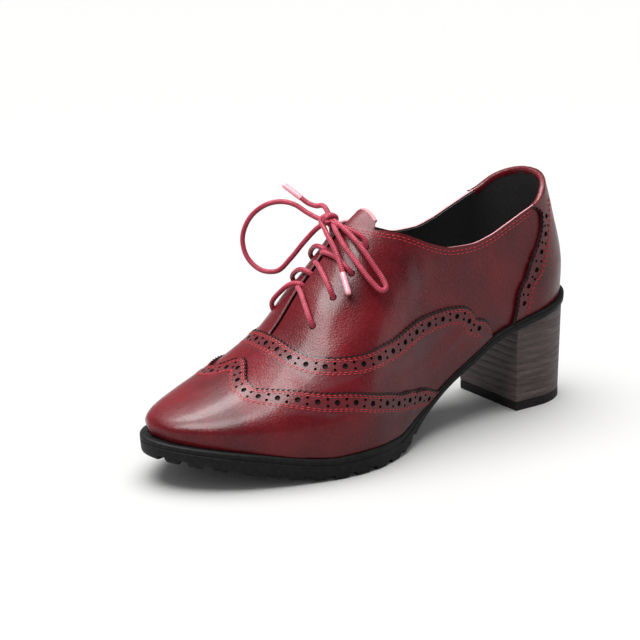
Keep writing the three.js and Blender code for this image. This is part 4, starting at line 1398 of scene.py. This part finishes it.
def counter_form(offset):
    columns = 90
    v_even = np.linspace(0, 1, 400)
    along = counter_edge(v_even)
    line = skin_point(along, 1.0, v_even * opening_edge(along, 1.0))
    way = travelled(line)
    teeth = int(way[-1] / tooth_pitch)
    rows = 2 * teeth
    heights = np.interp(np.linspace(0, way[-1], rows + 1), way, v_even)

    def place(u, v):
        row = np.rint(v * rows).astype(int)
        height = heights[row]
        column = np.rint(u * columns)
        t = 2 * column / columns - 1
        side = np.where(t < 0, -1.0, 1.0)
        shape = np.abs(np.sin(t * math.pi / 2))
        reach = counter_edge(height)
        is_edge = (column == 0) | (column == columns)
        notch = np.where(is_edge & (row % 2 == 0), tooth_depth, 0)
        at = np.maximum(shape * reach - notch / last_length, 0)
        over = height * opening_edge(at, side)
        points = skin_point(at, side, over, offset)
        distance = (1 - shape) * reach * last_length
        return points, height * way[-1], np.where(is_edge, 0, distance + 0.4)

    return lasted_sheet(columns, rows, place, (-0.09, heel_line * mm, 0.08)), way[-1]


def counter_holes(offset):
    holes = []
    for side in (1.0, -1.0):
        rows = {}
        for distance in (3.4, 5.0, 6.6):
            at, over, _ = up_the_counter(side, distance)
            rows[distance] = (at, over, skin_point(at, side, over, offset))
        way = travelled(rows[5.0][2])
        count = int((way[-1] - 6) / hole_pitch)
        start = (way[-1] - (count - 1) * hole_pitch) / 2
        for k in range(2 * count - 1):
            wanted = start + k * hole_pitch / 2
            share = wanted / way[-1]
            for distance in ((5.0,) if k % 2 == 0 else (3.4, 6.6)):
                at, over, points = rows[distance]
                i = int(np.clip(np.interp(share, np.linspace(0, 1, len(at)), np.arange(len(at))), 0, len(at) - 1))
                i = int(np.argmin(np.sum((points - rows[5.0][2][np.argmin(np.abs(way - wanted))]) ** 2, axis=1)))
                normal = last_normal(at[i : i + 1], np.array([side]), over[i : i + 1])[0]
                holes.append((points[i], normal, big_hole if k % 2 == 0 else small_hole))
    return holes


counter, counter_way = counter_form(layer)
tool = punch_object("p", counter_holes(layer - 0.4))
make_piece("counter_panel", counter, panel_skins, ("counter",), panel_wall, tool, 50, True)
print("counter edge:", round(counter_way), "mm")

# %% [markdown]
# Thread holds the panels down: a double row just inside the gimped edge and another past the holes.
# Each stitch is a small drop of thread, half sunk in the leather, and a row is one mesh.

# %% Stitches
def stitches(name, rows):
    form = bmesh.new()
    for line, offset in rows:
        stitched_line(form, line, offset)
    return make_piece(name, form, [thread])


for name, edge, offset in (("vamp_stitches", vamp_edge, layer), ("wing_tip_stitches", wing_edge, wing_layer)):
    base = edge_line(edge)
    stitches(name, [(beside(base, distance), offset) for distance in (1.7, 2.6, 8.0, 8.9)])


def side_row(form, side, along, over, offset):
    points = skin_point(along, side, over, offset + 0.12)
    way = travelled(points)
    wanted = np.arange(0.8, way[-1] - 0.8, stitch_pitch)
    at = np.interp(wanted, way, along)
    up = np.interp(wanted, way, over)
    normals = last_normal(at, np.full_like(at, side), up)
    stitch_row(form, skin_point(at, side, up, offset + 0.12), normals)


counter_thread = bmesh.new()
for side in (1.0, -1.0):
    for distance in (1.7, 8.2, 9.1):
        along, over, _ = up_the_counter(side, distance)
        side_row(counter_thread, side, along, over, layer)
make_piece("counter_stitches", counter_thread, [thread])

collar_thread = bmesh.new()
for side in (1.0, -1.0):
    for depth in (2.0, 3.6):
        along = np.linspace(0.11, 0.565, 300)
        edge = opening_edge(along, side)
        rise = skin_point(along, side, edge)
        below = skin_point(along, side, edge - 0.01)
        per_over = np.linalg.norm(rise - below, axis=1) / 0.01
        side_row(collar_thread, side, along, edge - depth / per_over, 0.0)
make_piece("collar_stitches", collar_thread, [thread])

# %% [markdown]
# The tongue lies under the facings and shows in the gap and above the top eyelets. It is a soft
# double skin, so its edge is rounded and pale.

# %% The tongue
tongue_half = 17
tongue_wall = 2.0
tongue_top = 0.501


def tongue_form():
    front = throat_share + 6 / last_length

    def place(u, v):
        along = tongue_top + (front - tongue_top) * v
        narrowing = round_end((along - tongue_top) * last_length + 4, 14)
        across = 2 * u - 1
        side = np.where(across < 0, -1.0, 1.0)
        distance = np.abs(across) * tongue_half * narrowing
        over = over_at(along, side, distance)
        points = skin_point(along, side, over, -wall - 0.7)
        return points, distance, along * last_length

    return lasted_sheet(48, 60, place)


tongue_skins = [tongue_skin, pale_edge, lining_skin]
make_piece("tongue_leather", tongue_form(), tongue_skins, ("tongue",), tongue_wall, None, 50)


def tongue_binding():
    across = np.linspace(-0.985, 0.985, 60)
    side = np.where(across < 0, -1.0, 1.0)
    along = np.full_like(across, tongue_top)
    width = tongue_half * round_end(4.0, 14)
    over = over_at(along, side, np.abs(across) * width)
    return skin_point(along, side, over, -wall - 0.7 - tongue_wall / 2)


binding = cord_form(tongue_binding(), tongue_wall + 0.25, 12)
make_piece("tongue_binding", binding, [pale_edge])

# %% [markdown]
# At the back of the collar the counter's leather is folded over the edge and down inside, so that
# the heel of the foot meets no raw edge. The fold is a narrow sheet, up from the outer face, over the
# edge and a little way down the lining.

# %% The fold at the back of the collar
fold_reach = 0.11
fold_steps = [
    (1.6, 1.3), (0.5, 1.3), (-0.1, 1.1), (-0.35, 0.4), (-0.35, -0.9), (-0.1, -1.75), (0.7, -2.0),
    (2.6, -2.0),
]


def collar_fold():
    count = len(fold_steps) - 1

    def place(u, v):
        step = np.rint(v * count).astype(int)
        depth = np.array([s[0] for s in fold_steps])[step]
        height = np.array([s[1] for s in fold_steps])[step]
        t = 2 * u - 1
        side = np.where(t < 0, -1.0, 1.0)
        along = np.abs(t) * fold_reach
        edge = opening_edge(along, side)
        rise = skin_point(along, side, edge) - skin_point(along, side, edge - 0.01)
        per_over = np.linalg.norm(rise, axis=1) / 0.01
        points = skin_point(along, side, edge - np.maximum(depth, 0) / per_over, height)
        points[:, 2] += np.maximum(-depth, 0)
        return points, along * last_length, depth

    return lasted_sheet(90, count, place, (-0.09, heel_line * mm, 0.05))


make_piece("collar_fold", collar_fold(), [calf, calf, calf], (), 0.12, None, 80)


# %% The insole and its sock
def insole_form():
    along_count = 120

    def place(u, v):
        t = np.clip(v, 0, 1)
        along = 0.5 * (1 - np.cos(math.pi * t))
        across = 2 * u - 1
        side = np.where(across < 0, -1.0, 1.0)
        edge = skin_point(along, side, 0.0, -wall - fit_gap)
        other = skin_point(along, -side, 0.0, -wall - fit_gap)
        middle = (edge + other) / 2
        flat = middle + (edge - middle) * np.abs(across)[:, None]
        share = np.clip((flat[:, 0] - to_frame[0]) / shoe_length, 0, 1)
        dish = 0.5 * (1 - across**2)
        flat[:, 2] = sole_top(share) + fit_gap + 2.0 - dish
        return flat, flat[:, 0], flat[:, 1]

    return lasted_sheet(30, along_count, place, (0.0, heel_line * mm, -0.2))


make_piece("sock", insole_form(), [sock_skin] * 3, ("insole",), 1.4, None, 50)

# %% [markdown]
# The top lift keeps its solid: its shape is right, and it only gets its rubber.

# %% Finish of the solid that stays
for node in ("top_lift",):
    solid = frame["nodes"][node]
    solid.data.materials.clear()
    solid.data.materials.append(lift_rubber)

# %% [markdown]
# A pale floor runs out behind the shoe, lit from the ceiling of a pale room. The key is a large soft
# box high over the toe, which lights the facings. A smaller one on the inner side draws the long
# highlight on the toe. They are linked to the shoe alone, so that the floor stays even.

# %% Floor, light and room
floor_form = bmesh.new()
bmesh.ops.create_grid(floor_form, x_segments=1, y_segments=1, size=14)
floor_mesh = bpy.data.meshes.new("floor")
floor_form.to_mesh(floor_mesh)
floor_form.free()
floor = bpy.data.objects.new("floor", floor_mesh)
bpy.context.scene.collection.objects.link(floor)
floor_paint, floor_tree, floor_shader = new_material("matte_white_table", Roughness=0.6)
floor_shader.inputs["Base Color"].default_value = linear("#f6f6f5")
floor_mesh.materials.append(floor_paint)

world = bpy.data.worlds.new("pale_room")
bpy.context.scene.world = world
bpy.context.scene.view_settings.view_transform = "Standard"
world.use_nodes = True
world.node_tree.nodes["Background"].inputs[0].default_value = linear("#ffffff")
world.node_tree.nodes["Background"].inputs[1].default_value = 0.28


def studio_light(name, kind, place, target, energy, **settings):
    light = bpy.data.lights.new(name, kind)
    light.energy = energy
    for key, value in settings.items():
        setattr(light, key, value)
    lamp = bpy.data.objects.new(name, light)
    bpy.context.scene.collection.objects.link(lamp)
    lamp.location = place
    lamp.rotation_mode = "QUATERNION"
    lamp.rotation_quaternion = (Vector(target) - Vector(place)).to_track_quat("-Z", "Y")
    return lamp


studio_light("ceiling_glow", "SUN", (0, -0.25, 2), (0, 0, 0), 2.8, angle=math.radians(60))
over_toe = {"shape": "RECTANGLE", "size": 0.8, "size_y": 0.62}
key = studio_light("box_over_the_toe", "AREA", (0.62, 0.11, 1.1), (0.03, 0, 0.06), 25, **over_toe)
behind = {"shape": "RECTANGLE", "size": 0.42, "size_y": 0.3}
rim = studio_light("box_on_the_inner_side", "AREA", (0.08, -0.6, 1.05), (0.06, 0, 0.04), 8, **behind)
low_side = {"shape": "RECTANGLE", "size": 0.9, "size_y": 0.4}
fill = studio_light("box_low_at_the_heel", "AREA", (-1.1, 0.75, 0.22), (0, 0, 0.05), 2.2, **low_side)
lit_pieces = bpy.data.collections.new("lit_by_the_key")
for piece in bpy.context.scene.collection.all_objects:
    if piece.type == "MESH" and piece != floor:
        lit_pieces.objects.link(piece)
for lamp in (key, rim, fill):
    lamp.light_linking.receiver_collection = lit_pieces
print("lights:", len(bpy.data.lights))
